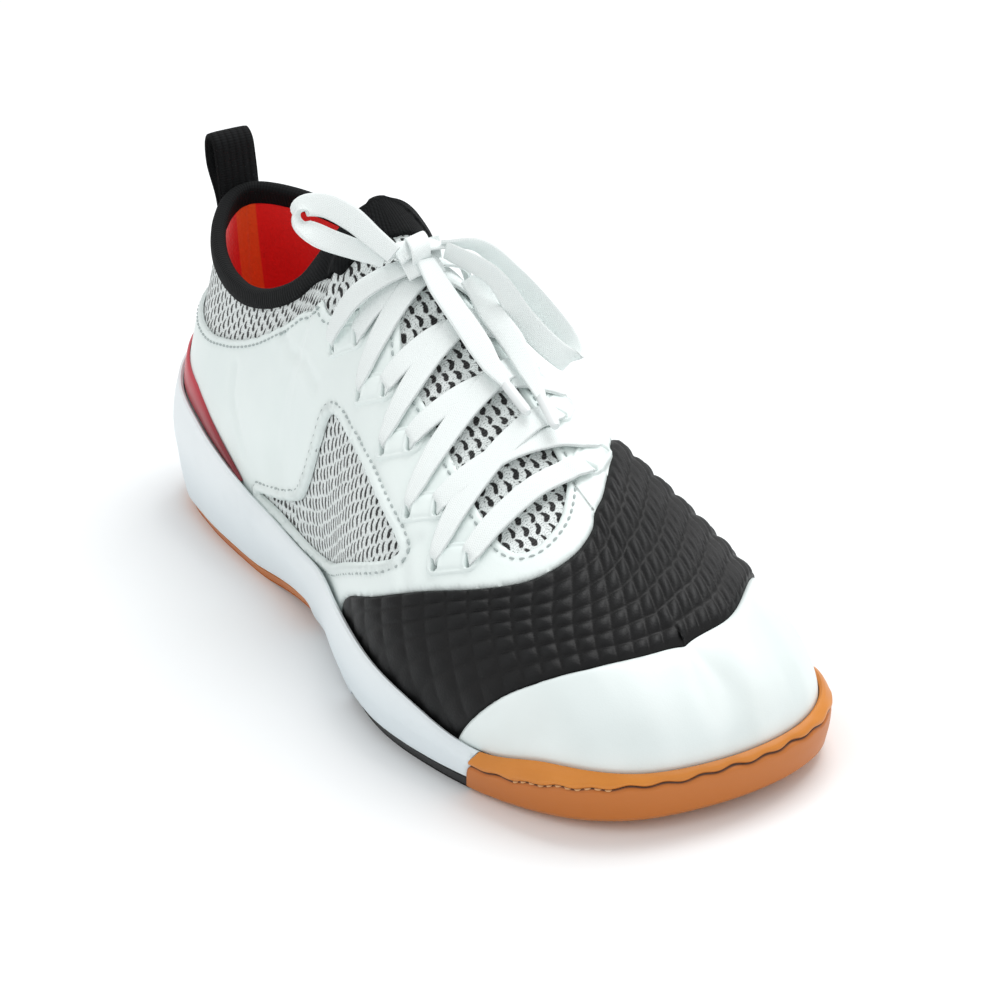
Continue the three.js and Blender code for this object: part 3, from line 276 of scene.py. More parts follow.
# The way in which the lace's width lies at each place of those routes
OUTER_WAYS = [
    (0.6, 0.1, 0.8), (0.7, 0, 0.7), (0.7, 0, 0.7), (0.5, 0.3, 0.75), (0.4, 0.55, 0.6), (0.45, 0.75, 0.3),
    (0.45, 0.45, 0.65), (0.5, 0.2, 0.8), (0.5, 0.2, 0.8),
]
INNER_WAYS = [
    (0.1, -0.8, 0.5), (0.2, -0.75, 0.6), (0.45, -0.5, 0.7), (0.6, -0.3, 0.55), (0.8, -0.3, 0.35),
    (0.85, -0.1, 0.3), (0.8, 0.1, 0.5), (0.7, -0.2, 0.6), (0.5, -0.5, 0.7), (0.3, -0.6, 0.7),
]
OUTER_END_WAYS = [
    (1, 0.1, 0), (1, 0, 0.05), (0.98, 0, 0.1), (0.97, 0, 0.2), (0.96, 0.05, 0.25), (0.97, 0, 0.2),
    (1, 0, 0.1),
]
INNER_END_WAYS = [
    (1, 0, 0.1), (0.98, 0, 0.2), (0.95, 0.05, 0.3), (0.93, 0, 0.4), (0.95, 0, 0.3), (1, 0, 0.2),
]


# ---------------------------------------------------------------- curves and the skin


def unit(rows: np.ndarray) -> np.ndarray:
    """Return each row scaled to length one."""
    return rows / np.maximum(np.linalg.norm(rows, axis=-1, keepdims=True), 1e-12)


def smooth(low: float, high: float, at: np.ndarray) -> np.ndarray:
    """Return an eased step from 0 at low to 1 at high."""
    t = np.clip((at - low) / (high - low), 0, 1)
    return t * t * (3 - 2 * t)


def running(line: np.ndarray) -> np.ndarray:
    """Return the length along a line of places, up to each."""
    return np.concatenate([[0], np.cumsum(np.linalg.norm(np.diff(line, axis=0), axis=1))])


def circle(count: int) -> np.ndarray:
    """Return a number of even places round a flat circle of radius 1."""
    turn = np.linspace(0, 2 * math.pi, count + 1)[:-1]
    return np.stack([np.cos(turn), np.sin(turn)], axis=1)


def hump(at: np.ndarray, middle: float, width: float) -> np.ndarray:
    """Return a soft hump that is 1 at its middle and dies away over its width."""
    return np.exp(-(((at - middle) / width) ** 2))


class Track:
    """A smooth curve through one column of a table, keyed by its first column."""

    def __init__(self, rows: list, column: int) -> None:
        """Keep the column's values and the slope at each row.

        Args:
            rows: The table.
            column: The column to follow.
        """
        table = np.array(rows, float)
        self.x = table[:, 0]
        self.y = table[:, column]
        inner = (self.y[2:] - self.y[:-2]) / (self.x[2:] - self.x[:-2])
        first = (self.y[1] - self.y[0]) / (self.x[1] - self.x[0])
        last = (self.y[-1] - self.y[-2]) / (self.x[-1] - self.x[-2])
        self.slope = np.concatenate([[first], inner, [last]])

    def __call__(self, at: np.ndarray) -> np.ndarray:
        """Return the column's value at each key."""
        x = np.clip(at, self.x[0], self.x[-1])
        i = np.searchsorted(self.x[1:-1], x, side="left")
        span = self.x[i + 1] - self.x[i]
        t = (x - self.x[i]) / span
        return (
            (2 * t**3 - 3 * t**2 + 1) * self.y[i]
            + (t**3 - 2 * t**2 + t) * span * self.slope[i]
            + (3 * t**2 - 2 * t**3) * self.y[i + 1]
            + (t**3 - t**2) * span * self.slope[i + 1]
        )


def tracks(rows: list, names: str) -> dict:
    """Return a curve for each column of a table after the first, by its name."""
    return {name: Track(rows, column) for column, name in enumerate(names.split(), start=1)}


class Curve:
    """A centripetal curve through points."""

    def __init__(self, points: np.ndarray, closed: bool = False) -> None:
        """Keep the points with one spare at either end, and the curve's running length.

        Args:
            points: The places that the curve passes through.
            closed: Whether it returns to its start.
        """
        p = np.array(points, float)
        if closed:
            self.points = np.vstack([p[-1], p, p[0], p[1]])
        else:
            self.points = np.vstack([2 * p[0] - p[1], p, 2 * p[-1] - p[-2]])
        self.spans = len(p) if closed else len(p) - 1
        self.shares = np.linspace(0, 1, 1201)
        self.lengths = running(self.at(self.shares))
        self.length = float(self.lengths[-1])

    def at(self, shares: np.ndarray) -> np.ndarray:
        """Return the places at shares of the curve's own parameter."""
        x = np.clip(np.asarray(shares, float), 0, 1) * self.spans
        i = np.minimum(x.astype(int), self.spans - 1)
        w = (x - i)[:, None]
        p = [self.points[i + k] for k in range(4)]
        gap = [np.sum((p[k] - p[k + 1]) ** 2, axis=1) ** 0.25 for k in range(3)]
        gap[1] = np.where(gap[1] < 1e-4, 1.0, gap[1])
        gap[0] = np.where(gap[0] < 1e-4, gap[1], gap[0])[:, None]
        gap[2] = np.where(gap[2] < 1e-4, gap[1], gap[2])[:, None]
        gap[1] = gap[1][:, None]
        a = (p[1] - p[0]) / gap[0] - (p[2] - p[0]) / (gap[0] + gap[1]) + (p[2] - p[1]) / gap[1]
        b = (p[2] - p[1]) / gap[1] - (p[3] - p[1]) / (gap[1] + gap[2]) + (p[3] - p[2]) / gap[2]
        a, b = a * gap[1], b * gap[1]
        return p[1] + a * w + (3 * (p[2] - p[1]) - 2 * a - b) * w**2 + (2 * (p[1] - p[2]) + a + b) * w**3

    def even(self, shares: np.ndarray) -> np.ndarray:
        """Return the parameter at shares of the curve's length."""
        return np.interp(np.asarray(shares) * self.length, self.lengths, self.shares)

    def way(self, shares: np.ndarray) -> np.ndarray:
        """Return the curve's direction at shares of its own parameter."""
        shares = np.asarray(shares, float)
        return unit(self.at(np.clip(shares + 1e-4, 0, 1)) - self.at(np.clip(shares - 1e-4, 0, 1)))


class Last:
    """The skin over the last: the knit's outer face, read by its place around the foot and up its side."""

    def __init__(self) -> None:
        """Prepare the tables and the tread's outline."""
        self.side = tracks(SIDE, "stack cup flare arch spring")
        self.ridge = tracks(RIDGE, "along height shift turn low high")
        self.collar = tracks(COLLAR, "along height aside shift higher turn lean low high")
        outer = [(-row[1] * BALL_WIDTH, HEEL_REST - row[0] * LENGTH, 0) for row in reversed(PLAN)]
        inner = [(row[2] * BALL_WIDTH, HEEL_REST - row[0] * LENGTH, 0) for row in PLAN]
        toe, heel = (TOE_SHIFT, HEEL_REST - LENGTH, 0), (0, HEEL_REST, 0)
        self.outline = Curve([toe, *outer, heel, *inner], closed=True)

    def of_side(self, name: str, p: np.ndarray) -> np.ndarray:
        """Return a value of the side table at places."""
        return self.side[name]((HEEL_REST - p[..., 1]) / LENGTH)

    def tread_low(self, p: np.ndarray) -> np.ndarray:
        """Return the height of the tread's lower face at places."""
        return np.maximum(self.of_side("arch", p) * ARCH_RISE + self.of_side("spring", p) * TOE_SPRING, 0)

    def stack(self, p: np.ndarray) -> np.ndarray:
        """Return the height of the footbed at places."""
        share = self.of_side("stack", p)
        return FORE_STACK + (HEEL_STACK - FORE_STACK) * share + self.of_side("spring", p) * TOE_SPRING

    def edge(self, around: np.ndarray, inset: float | np.ndarray) -> np.ndarray:
        """Return places on the tread's outline, moved inward."""
        share = np.where(around >= 0, around * HEEL_TURN, 1 + around * (1 - HEEL_TURN)) % 1.0
        t = self.outline.even(share)
        way = self.outline.way(t)
        aside = np.stack([way[:, 1], -way[:, 0], np.zeros(len(t))], axis=1)
        return self.outline.at(t) + aside * np.broadcast_to(np.asarray(inset, float), (len(t),))[:, None]

    def middle(self, around: np.ndarray, inset: float) -> np.ndarray:
        """Return the sole's middle line, shared by both sides."""
        w = np.abs(around)
        return (self.edge(w, inset) + self.edge(-w, inset)) / 2

    def crown(self, around: np.ndarray) -> np.ndarray:
        """Return where each column ends, on the ridge or the collar."""
        w = np.abs(around)
        on = w <= TONGUE_TIP
        sign = np.where(around < 0, 1.0, -1.0)
        ridge, collar = self.ridge, self.collar
        aside = sign * collar["aside"](w) * COLLAR_WIDTH / 2 + collar["shift"](w) * COLLAR_SHIFT
        higher = np.where(around < 0, collar["higher"](w), 0)
        x = np.where(on, ridge["shift"](w) * RIDGE_SHIFT, aside)
        y = HEEL_REST - np.where(on, ridge["along"](w), collar["along"](w)) * LENGTH
        z = np.where(on, ridge["height"](w), collar["height"](w) + higher) * INSTEP_TOP
        return np.stack([x, y, z], axis=1)

    def arrival(self, around: np.ndarray) -> np.ndarray:
        """Return the way in which each column arrives at its crown."""
        w = np.minimum(np.abs(around), 1)
        hand = np.where(around < 0, -1.0, 1.0)
        step = 0.004
        on = w <= TONGUE_TIP
        low = np.where(on, np.maximum(w - step, 0), np.maximum(w - step, TONGUE_TIP + step / 4))
        high = np.where(on, np.minimum(w + step, TONGUE_TIP), w + step)
        near = np.where(hand < 0, -np.maximum(low, 1e-9), low)
        way = unit(self.crown(hand * high) - self.crown(near))
        turn = np.radians(np.where(on, self.ridge["turn"](w), self.collar["turn"](w)))[:, None]
        lean = np.radians(self.collar["lean"](w))[:, None]
        across = np.stack([hand, 0 * w, 0 * w], axis=1)
        first = way * np.sin(turn) + across * np.cos(turn)
        inward = unit(np.stack([way[:, 1], -way[:, 0], 0 * w], axis=1)) * hand[:, None]
        upright = inward * np.sin(lean) + np.array([0, 0, 1.0]) * np.cos(lean)
        second = unit(upright * np.sin(turn) - way * np.cos(turn))
        return np.where(on[:, None], first, second)

    def columns(self, around: np.ndarray) -> np.ndarray:
        """Return the four control places of each column."""
        w = np.abs(around)
        on = w <= TONGUE_TIP
        foot = self.edge(around, FOOT_INSET)
        foot[:, 2] = self.stack(foot) + GAP
        outward = self.edge(around, 0) - self.edge(around, 1)
        top = self.crown(around)
        way = self.arrival(around)
        rise = top[:, 2] - foot[:, 2]
        run = np.hypot(top[:, 0] - foot[:, 0], top[:, 1] - foot[:, 1])
        low = np.where(on, self.ridge["low"](w), self.collar["low"](w)) * rise
        high = np.where(on, self.ridge["high"](w), self.collar["high"](w))
        high = high * (np.hypot(way[:, 0], way[:, 1]) * run + way[:, 2] * rise)
        flare = (self.of_side("flare", foot) * low)[:, None]
        second = foot + np.array([0, 0, 1.0]) * low[:, None] + outward * flare
        return np.stack([foot, second, top - way * high[:, None], top], axis=1)

    def bare(self, around: np.ndarray, up: np.ndarray) -> np.ndarray:
        """Return places on the skin itself."""
        c = self.columns(around)
        u, v = up[:, None], 1 - up[:, None]
        return v**3 * c[:, 0] + 3 * v**2 * u * c[:, 1] + 3 * v * u**2 * c[:, 2] + u**3 * c[:, 3]

    def normal(self, around: np.ndarray, up: np.ndarray) -> np.ndarray:
        """Return the skin's outward direction."""
        step = 0.012
        level = np.clip(up, step, 1 - step)
        wrap = lambda a: (a + 1) % 2 - 1
        across = self.bare(wrap(around + step), level) - self.bare(wrap(around - step), level)
        climb = self.bare(around, level + step) - self.bare(around, level - step)
        made = unit(np.cross(climb, across))
        ridge = (up >= 1) & (np.abs(around) <= TONGUE_TIP)
        made[ridge, 0] = 0
        return unit(made)

    def skin(self, around: np.ndarray, up: np.ndarray, offset: float | np.ndarray = 0.0) -> np.ndarray:
        """Return places on the skin, moved out of it by an offset.

        Args:
            around: Share of the way from the toe tip to the heel's back, negative along the inner side.
            up: Share of the way from the sole to the crown.
            offset: Millimetres out of the skin.

        Returns:
            Places in millimetres.
        """
        around, up = np.broadcast_arrays(np.asarray(around, float), np.asarray(up, float))
        around, up = around.ravel().copy(), up.ravel().copy()
        around[np.abs(around) == 1] = 1
        ridge = (up >= 1) & (np.abs(around) <= TONGUE_TIP)
        around[ridge] = np.abs(around[ridge])
        lift = np.broadcast_to(np.asarray(offset, float), around.shape)[:, None]
        return self.bare(around, up) + self.normal(around, up) * lift

    def spot(self, around: float, up: float, offset: float = 0.0) -> np.ndarray:
        """Return one place on the skin, moved out of it by an offset."""
        return self.skin(np.array([around]), np.array([up]), offset)[0]

    def out(self, around: float, up: float) -> np.ndarray:
        """Return the skin's outward direction at one place."""
        return self.normal(np.array([around]), np.array([up]))[0]

    def rim_up(self, around: np.ndarray) -> np.ndarray:
        """Return how far up each column the midsole's cup reaches."""
        height = self.of_side("cup", self.edge(around, 0)) * CUP_HEIGHT
        low, high = np.zeros(len(around)), np.full(len(around), 0.9)
        for _ in range(26):
            mid = (low + high) / 2
            under = self.skin(around, mid, CUP_GAP)[:, 2] < height
            low, high = np.where(under, mid, low), np.where(under, high, mid)
        return low


# ---------------------------------------------------------------- meshes


@dataclass
class Shape:
    """Places, faces and surface map of a mesh that is being made, in millimetres."""

    verts: np.ndarray
    faces: list
    uv: np.ndarray | None = None
    slots: list | None = None
    tint: np.ndarray | None = None


def lattice(rows: int, columns: int, ring_rows: bool = False, ring_columns: bool = False) -> np.ndarray:
    """Return the quads of a grid of rows × columns places, numbered along each row."""
    i = np.arange(rows if ring_rows else rows - 1)[:, None]
    j = np.arange(columns if ring_columns else columns - 1)[None, :]
    k, m = (i + 1) % rows, (j + 1) % columns
    corners = [i * columns + j, i * columns + m, k * columns + m, k * columns + j]
    return np.stack([np.broadcast_to(c, (i.shape[0], j.shape[1])).ravel() for c in corners], axis=1)


def grid(first: np.ndarray, second: np.ndarray) -> list:
    """Return the two keys of every place of a grid, numbered along its second key."""
    return [keys.ravel() for keys in np.meshgrid(first, second, indexing="ij")]


def rims(quads: np.ndarray) -> list:
    """Return the directed edges that only one quad has."""
    edges = np.concatenate([quads[:, [k, (k + 1) % 4]] for k in range(4)])
    there = {(int(a), int(b)) for a, b in edges}
    return [(a, b) for a, b in there if (b, a) not in there]


def thick(quads: np.ndarray, outer: np.ndarray, inner: np.ndarray, uv: np.ndarray | None = None) -> Shape:
    """Close a sheet into a wall.

    Args:
        quads: The sheet's faces, which face out.
        outer: Its outer places.
        inner: Its inner places.
        uv: Map of each place.

    Returns:
        The wall, with slot 1 for the faces of its inner side.
    """
    n = len(outer)
    sides = [[a, a + n, b + n, b] for a, b in rims(quads)]
    faces = quads.tolist() + (quads[:, ::-1] + n).tolist() + sides
    slots = [0] * len(quads) + [1] * len(quads) + [0] * len(sides)
    maps = None if uv is None else np.vstack([uv, uv])
    return Shape(np.vstack([outer, inner]), faces, maps, slots)


def swept(sections: np.ndarray, closed_ends: bool = True, uv: np.ndarray | None = None) -> Shape:
    """Join closed sections into one tube.

    Args:
        sections: Array of sections × places × 3.
        closed_ends: Whether the first and last sections are capped, or joined to each other.
        uv: Map of each place, in the same order.

    Returns:
        The tube.
    """
    rows, columns = sections.shape[:2]
    faces = lattice(rows, columns, ring_rows=not closed_ends, ring_columns=True).tolist()
    if closed_ends:
        faces += [list(range(columns))[::-1], [(rows - 1) * columns + j for j in range(columns)]]
    return Shape(sections.reshape(-1, 3), faces, None if uv is None else uv.reshape(-1, 2))


def select(piece: bpy.types.Object) -> None:
    """Select one piece and make it the active one."""
    bpy.ops.object.select_all(action="DESELECT")
    piece.select_set(True)
    bpy.context.view_layer.objects.active = piece


def build(
    name: str, shape: Shape, materials: list, angle: float | None = None, tidy: bool = True
) -> bpy.types.Object:
    """Make an object of a shape.

    Args:
        name: The piece's name.
        shape: Its mesh in millimetres.
        materials: Its materials, by slot.
        angle: Edges sharper than this, in degrees, stay sharp.
        tidy: Whether doubles are merged and the faces turned outwards.

    Returns:
        The object, at the origin, riding on the one body.
    """
    mesh = bpy.data.meshes.new(name)
    mesh.from_pydata((shape.verts * MM).tolist(), [], [[int(v) for v in f] for f in shape.faces])
    if shape.slots is not None:
        mesh.polygons.foreach_set("material_index", np.array(shape.slots, np.int32))
    corner = np.zeros(len(mesh.loops), np.int32)
    mesh.loops.foreach_get("vertex_index", corner)
    if shape.uv is not None:
        layer = mesh.uv_layers.new(name="map")
        layer.data.foreach_set("uv", shape.uv[corner].astype(np.float32).ravel())
    if shape.tint is not None:
        tint = mesh.attributes.new("tint", "FLOAT", "POINT")
        tint.data.foreach_set("value", shape.tint.astype(np.float32))
    piece = bpy.data.objects.new(name, mesh)
    bpy.context.scene.collection.objects.link(piece)
    for material in materials:
        mesh.materials.append(material)
    if tidy:
        work = bmesh.new()
        work.from_mesh(mesh)
        bmesh.ops.remove_doubles(work, verts=work.verts, dist=MERGE * MM)
        bmesh.ops.recalc_face_normals(work, faces=work.faces)
        work.to_mesh(mesh)
        work.free()
    select(piece)
    if angle is None:
        bpy.ops.object.shade_smooth()
    else:
        bpy.ops.object.shade_smooth_by_angle(angle=math.radians(angle))
    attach(piece, "root")
    return piece


def cut(piece: bpy.types.Object, place: tuple, way: tuple) -> None:
    """Cut a piece by a plane, in millimetres, and take away the side that the way points to."""
    select(piece)
    bpy.ops.object.mode_set(mode="EDIT")
    bpy.ops.mesh.select_all(action="SELECT")
    bpy.ops.mesh.bisect(plane_co=[v * MM for v in place], plane_no=way, use_fill=True, clear_outer=True)
    bpy.ops.object.mode_set(mode="OBJECT")


def strap(
    route: Curve,
    ways: Curve,
    width: np.ndarray,
    thickness: float,
    steps: int,
    section: np.ndarray | None = None,
) -> Shape:
    """Sweep a flat strap along a route.

    Args:
        route: The strap's middle line.
        ways: The way in which its width lies, by the route's own parameter.
        width: Its width at each step.
        thickness: Its thickness.
        steps: How many sections it has, less one.
        section: Its outline, as shares of half its width and half its thickness.

    Returns:
        The strap, mapped in millimetres along and across.
    """
    if section is None:
        ring = circle(STRAP_SIDES)
        section = np.sign(ring) * np.abs(ring) ** np.array(STRAP_POWERS)
    share = route.even(np.linspace(0, 1, steps + 1))
    at, way = route.at(share), route.way(share)
    across = ways.at(share)
    across = unit(across - way * np.sum(across * way, axis=1, keepdims=True))
    out = np.cross(way, across)
    x = section[None, :, 0, None] * np.broadcast_to(width, (steps + 1,))[:, None, None] / 2
    y = section[None, :, 1, None] * thickness / 2
    verts = at[:, None] + across[:, None] * x + out[:, None] * y
    u = np.broadcast_to(np.linspace(0, route.length, steps + 1)[:, None], x.shape[:2])
    v = x[..., 0] + np.where(section[None, :, 1] < 0, 3 * LACE_WIDTH, 0)
    return swept(verts, True, np.stack([u, v], axis=2))


def joined(shapes: list) -> Shape:
    """Join shapes into one."""
    verts, faces, maps, tints, start = [], [], [], [], 0
    for shape in shapes:
        verts.append(shape.verts)
        faces += [[int(v) + start for v in f] for f in shape.faces]
        maps.append(np.zeros((len(shape.verts), 2)) if shape.uv is None else shape.uv)
        tints.append(np.zeros(len(shape.verts)) if shape.tint is None else shape.tint)
        start += len(shape.verts)
    return Shape(np.vstack(verts), faces, np.vstack(maps), None, np.concatenate(tints))


# ---------------------------------------------------------------- materials


def colour(code: str) -> tuple:
    """Return a linear colour for an sRGB hex value."""
    parts = [int(code[i : i + 2], 16) / 255 for i in (1, 3, 5)]
    return tuple(c / 12.92 if c <= 0.04045 else ((c + 0.055) / 1.055) ** 2.4 for c in parts) + (1.0,)


def operator(kind: str, swapped: bool = False) -> Callable:
    """Return a method that adds a math node for an operator.

    Args:
        kind: The node's operation.
        swapped: Whether the other value comes first.

    Returns:
        The method.
    """

    def method(self: Value, other: Value | float) -> Value:
        return self.sheet.calc(kind, *((other, self) if swapped else (self, other)))

    return method


@dataclass(frozen=True)
class Value:
    """A socket of a material that is being made, with operators that add math nodes."""

    sheet: Sheet
    socket: bpy.types.NodeSocket

    __add__, __radd__ = operator("ADD"), operator("ADD", True)
    __sub__, __rsub__ = operator("SUBTRACT"), operator("SUBTRACT", True)
    __mul__, __truediv__, __pow__ = operator("MULTIPLY"), operator("DIVIDE"), operator("POWER")


class Sheet:
    """A material's node tree that is being made."""

    def __init__(self, name: str) -> None:
        """Start a material that has its shader alone.

        Args:
            name: The material's name.
        """
        self.material = bpy.data.materials.new(name)
        self.material.use_nodes = True
        self.tree = self.material.node_tree
        self.tree.nodes.clear()
        output = self.add("ShaderNodeOutputMaterial")
        self.shader = self.add("ShaderNodeBsdfPrincipled")
        self.tree.links.new(self.shader.outputs["BSDF"], output.inputs["Surface"])

    def put(self, value: Value | str | float | tuple, target: bpy.types.NodeSocket) -> None:
        """Set a socket to another one, a colour's code or a plain value."""
        if isinstance(value, Value):
            self.tree.links.new(value.socket, target)
        else:
            target.default_value = colour(value) if isinstance(value, str) else value

    def add(self, kind: str, links: dict | None = None, **settings: object) -> bpy.types.Node:
        """Add a node.

        Args:
            kind: The node's type.
            links: What its inputs are set to, by name or number.
            settings: Its own settings.

        Returns:
            The node.
        """
        node = self.tree.nodes.new(kind)
        for key, value in settings.items():
            setattr(node, key, value)
        for key, value in (links or {}).items():
            self.put(value, node.inputs[key])
        return node

    def value(self, kind: str, links: dict | None = None, output: int | str = 0, **settings: object) -> Value:
        """Add a node and return one of its outputs."""
        return Value(self, self.add(kind, links, **settings).outputs[output])

    def calc(self, kind: str, *values: Value | float) -> Value:
        """Return the result of a math operation."""
        return self.value("ShaderNodeMath", dict(enumerate(values)), operation=kind)

    def ribs(self, angle: Value) -> Value:
        """Return a row of rounded ribs, one for each half turn of an angle."""
        return self.calc("ABSOLUTE", self.calc("SINE", angle))

    def mix(self, share: Value, low: Value | str, high: Value | str) -> Value:
        """Return a blend of two colours."""
        return self.value("ShaderNodeMix", {0: share, 6: low, 7: high}, 2, data_type="RGBA")

    def ramp(self, value: Value, low: float, high: float) -> Value:
        """Return an eased step of a value, from 0 at low to 1 at high."""
        links = {0: value, 1: low, 2: high, 3: 0.0, 4: 1.0}
        return self.value("ShaderNodeMapRange", links, interpolation_type="SMOOTHSTEP")

    def noise(self, at: Value, scale: float, detail: float = 2.0) -> Value:
        """Return a noise value at places."""
        return self.value("ShaderNodeTexNoise", {"Vector": at, "Scale": scale, "Detail": detail})

    def cells(self, at: Value, scale: float) -> Value:
        """Return the distance to the nearest of many scattered points, at places."""
        return self.value("ShaderNodeTexVoronoi", {"Vector": at, "Scale": scale})

    def stretched(self, at: Value, turn: tuple, scale: tuple) -> Value:
        """Return places that are scaled and turned, so that a pattern on them runs long one way."""
        return self.value("ShaderNodeMapping", {"Vector": at, "Rotation": turn, "Scale": scale})

    def places(self) -> Value:
        """Return the object's own coordinates, in metres."""
        return self.value("ShaderNodeTexCoord", None, "Object")

    def split(self, at: Value) -> list:
        """Return the three parts of places."""
        return [Value(self, part) for part in self.add("ShaderNodeSeparateXYZ", {0: at}).outputs]

    def map(self) -> tuple:
        """Return the piece's own map in millimetres, and its two parts."""
        uv = self.value("ShaderNodeUVMap", uv_map="map")
        return (uv, *self.split(uv)[:2])

    def tint(self) -> Value:
        """Return the tint that the piece's places carry, which on most pieces is painted shade or a painted
        highlight, and on the knit marks the throat.
        """
        return self.value("ShaderNodeAttribute", None, "Fac", attribute_name="tint")

    def finish(
        self,
        base: Value | str,
        roughness: Value | float,
        height: Value | None = None,
        depth: float = 0.3,
        strength: float = 1.0,
        **constants: float,
    ) -> bpy.types.Material:
        """Set the shader's sockets and return the material.

        Args:
            base: Its colour.
            roughness: Its roughness.
            height: The relief's height, from 0 to 1.
            depth: The relief's depth in millimetres.
            strength: The relief's strength.
            constants: Values of other sockets, by the name that they have in Blender, in lower case.

        Returns:
            The material.
        """
        inputs = self.shader.inputs
        self.put(base, inputs["Base Color"])
        self.put(roughness, inputs["Roughness"])
        if height is not None:
            links = {"Height": height, "Distance": depth * MM, "Strength": strength}
            self.put(self.value("ShaderNodeBump", links), inputs["Normal"])
        for name, value in constants.items():
            inputs[name.replace("_", " ").title().replace("Ior", "IOR")].default_value = value
        return self.material


@dataclass(frozen=True)
class Knit:
    """Flat-knitted polyester: matt, with rows of drop-shaped eyelets and grey flecks of a second yarn."""

    ground: str = "#eef4f3"
    fleck: str = "#565d5e"
    hole: str = "#08090a"
    pitch: float = 2.5
    rise: float = 4.2
    size: float = 0.68
    throat_pitch: float = 0.85
    throat_size: float = 0.16

    def make(self) -> bpy.types.Material:
        """Return the material, patterned on the piece's own map."""
        s = Sheet("knitted polyester")
        uv, u, v = s.map()
        u = u + (s.noise(uv, 0.16, 1.0) - 0.5) * 2.2
        v = v + (s.noise(uv, 0.3, 0.0) - 0.5) * 1.6
        # Over the throat the columns run along the foot, elsewhere they climb its sides
        tint = s.tint()
        turned = s.calc("GREATER_THAN", tint, 0.5)
        swap = turned * (v - u)
        u, v = u + swap, v - swap
        pitch = self.pitch + turned * self.throat_pitch
        across = u / pitch
        column = s.calc("FLOOR", across)
        odd = s.calc("PINGPONG", column, 1.0) * 0.5
        along = v / self.rise + odd
        x = (across - column - 0.5) * pitch
        y = (s.calc("FRACT", along) - 0.4) * self.rise
        x = x - s.calc("SINE", y * 1.5) * 0.28
        # The drop's head and its tail, each a distance in millimetres
        head = s.calc("SQRT", x**2.0 + (y * 0.78)**2.0)
        tail_y = (y - 0.95) * 0.36
        tail = s.calc("SQRT", x**2.0 + tail_y**2.0) + 0.28
        near = s.calc("MINIMUM", head, tail)
        ragged = near + (s.noise(uv, 2.3, 2.0) - 0.5) * 0.5
        size = self.size + tint * self.throat_size
        open_ = 1.0 - s.ramp(ragged - size, -0.1, 0.16)
        rib = s.ribs(across * math.pi)
        loops = s.ribs((v + rib * 0.5) * 3.9)
        fleck = s.ramp(s.noise(uv, 1.9, 3.0), 0.56, 0.66) * (0.2 + tint * 0.8)
        ground = s.mix(fleck * 0.8, self.ground, self.fleck)
        # Painted shade: the hollows between the knit's loops are painted grey
        ground = s.mix((1.0 - loops) * 0.16, ground, "#9aa3a3")
        base = s.mix(open_, ground, self.hole)
        height = rib * 0.3 + loops * 0.35 - open_
        return s.finish(base, 0.85, height, 0.55, 0.8, sheen_weight=0.25, sheen_roughness=0.5)


@dataclass(frozen=True)
class Lining:
    """Brushed polyester lining, red, brighter at the heel, with painted light that makes it a brighter red
    higher up.
    """

    deep: str = "#ee0202"
    bright: str = "#ff5a08"

    def make(self) -> bpy.types.Material:
        """Return the material."""
        s = Sheet("brushed polyester lining")
        at = s.places()
        x, y, z = s.split(at)
        # The bright stripe stands upright at the back of the heel
        aside = s.calc("ABSOLUTE", x - 0.0023)
        back = s.ramp(y, 0.02, 0.022) * s.ramp(aside * -1.0, -0.0038, -0.0032)
        # Painted light: the red turns brighter higher up, towards the lit rim, and stays deeper lower down in
        # the shade inside
        deep = s.mix(s.ramp(z, 0.045, 0.1), self.deep, "#ff0e04")
        base = s.mix(back, deep, self.bright)
        base = s.mix(s.noise(at, 900.0, 3.0) * 0.18, base, "#a80a04")
        weave = s.cells(at, 950.0)
        return s.finish(base, 0.8, weave, 0.25, 0.5, sheen_weight=0.3)


@dataclass(frozen=True)
class Film:
    """Fused polyurethane film, moulded over the knit: satin, with faint brushed lines."""

    name: str = "fused polyurethane film"
    ground: str = "#ebf4f2"
    shade: str = "#d9e6e4"
    roughness: float = 0.42
    streaks: float = 0.0

    def make(self) -> bpy.types.Material:
        """Return the material."""
        s = Sheet(self.name)
        at = s.places()
        lines = s.noise(s.stretched(at, (0.3, 0.2, 0.5), (1, 0.16, 1)), 620.0, 3.0)
        cloud = s.noise(at, 26.0, 3.0)
        base = s.mix(s.ramp(cloud, 0.35, 0.75) * 0.3, self.ground, self.shade)
        if self.streaks:
            broad = s.noise(s.stretched(at, (0, 0.35, 0.95), (1, 0.06, 0.4)), 75.0, 1.0)
            base = s.mix(s.ramp(broad, 0.4, 0.68) * self.streaks, base, "#b9c8c8")
        # Painted shade: the tint darkens the film in its seam grooves, creases, slots and round the tabs'
        # edges
        base = s.mix(s.tint() * 0.55, base, "#8f9a9a")
        dust = s.ramp(s.split(at)[2] * -1.0, -0.05, -0.018) * s.ramp(cloud, 0.4, 0.8)
        base = s.mix(dust * 0.18, base, "#b5ada0")
        grain = s.noise(at, 2600.0, 2.0)
        height = lines * 0.5 + grain * 0.5
        rough = self.roughness - 0.06 + cloud * 0.14
        return s.finish(base, rough, height, 0.07, 0.7, coat_weight=0.12, coat_roughness=0.35)


@dataclass(frozen=True)
class Quilted:
    """Pressed polyurethane synthetic with a soft satin skin, black, its pillows' crests painted lighter as a
    painted highlight.
    """

    def make(self) -> bpy.types.Material:
        """Return the material."""
        s = Sheet("pressed black polyurethane")
        at = s.places()
        cloud = s.noise(at, 60.0, 2.0)
        grain = s.cells(at, 1500.0)
        # Painted highlight: the pillows' crests, carried by the tint, are painted a lighter black
        base = s.mix(s.tint(), "#050506", "#0e1012")
        base = s.mix(s.ramp(cloud, 0.4, 0.7) * 0.35, base, "#0b0d0e")
        rough = 0.46 + cloud * 0.2
        return s.finish(base, rough, grain, 0.09, 0.5, specular_ior_level=0.28)


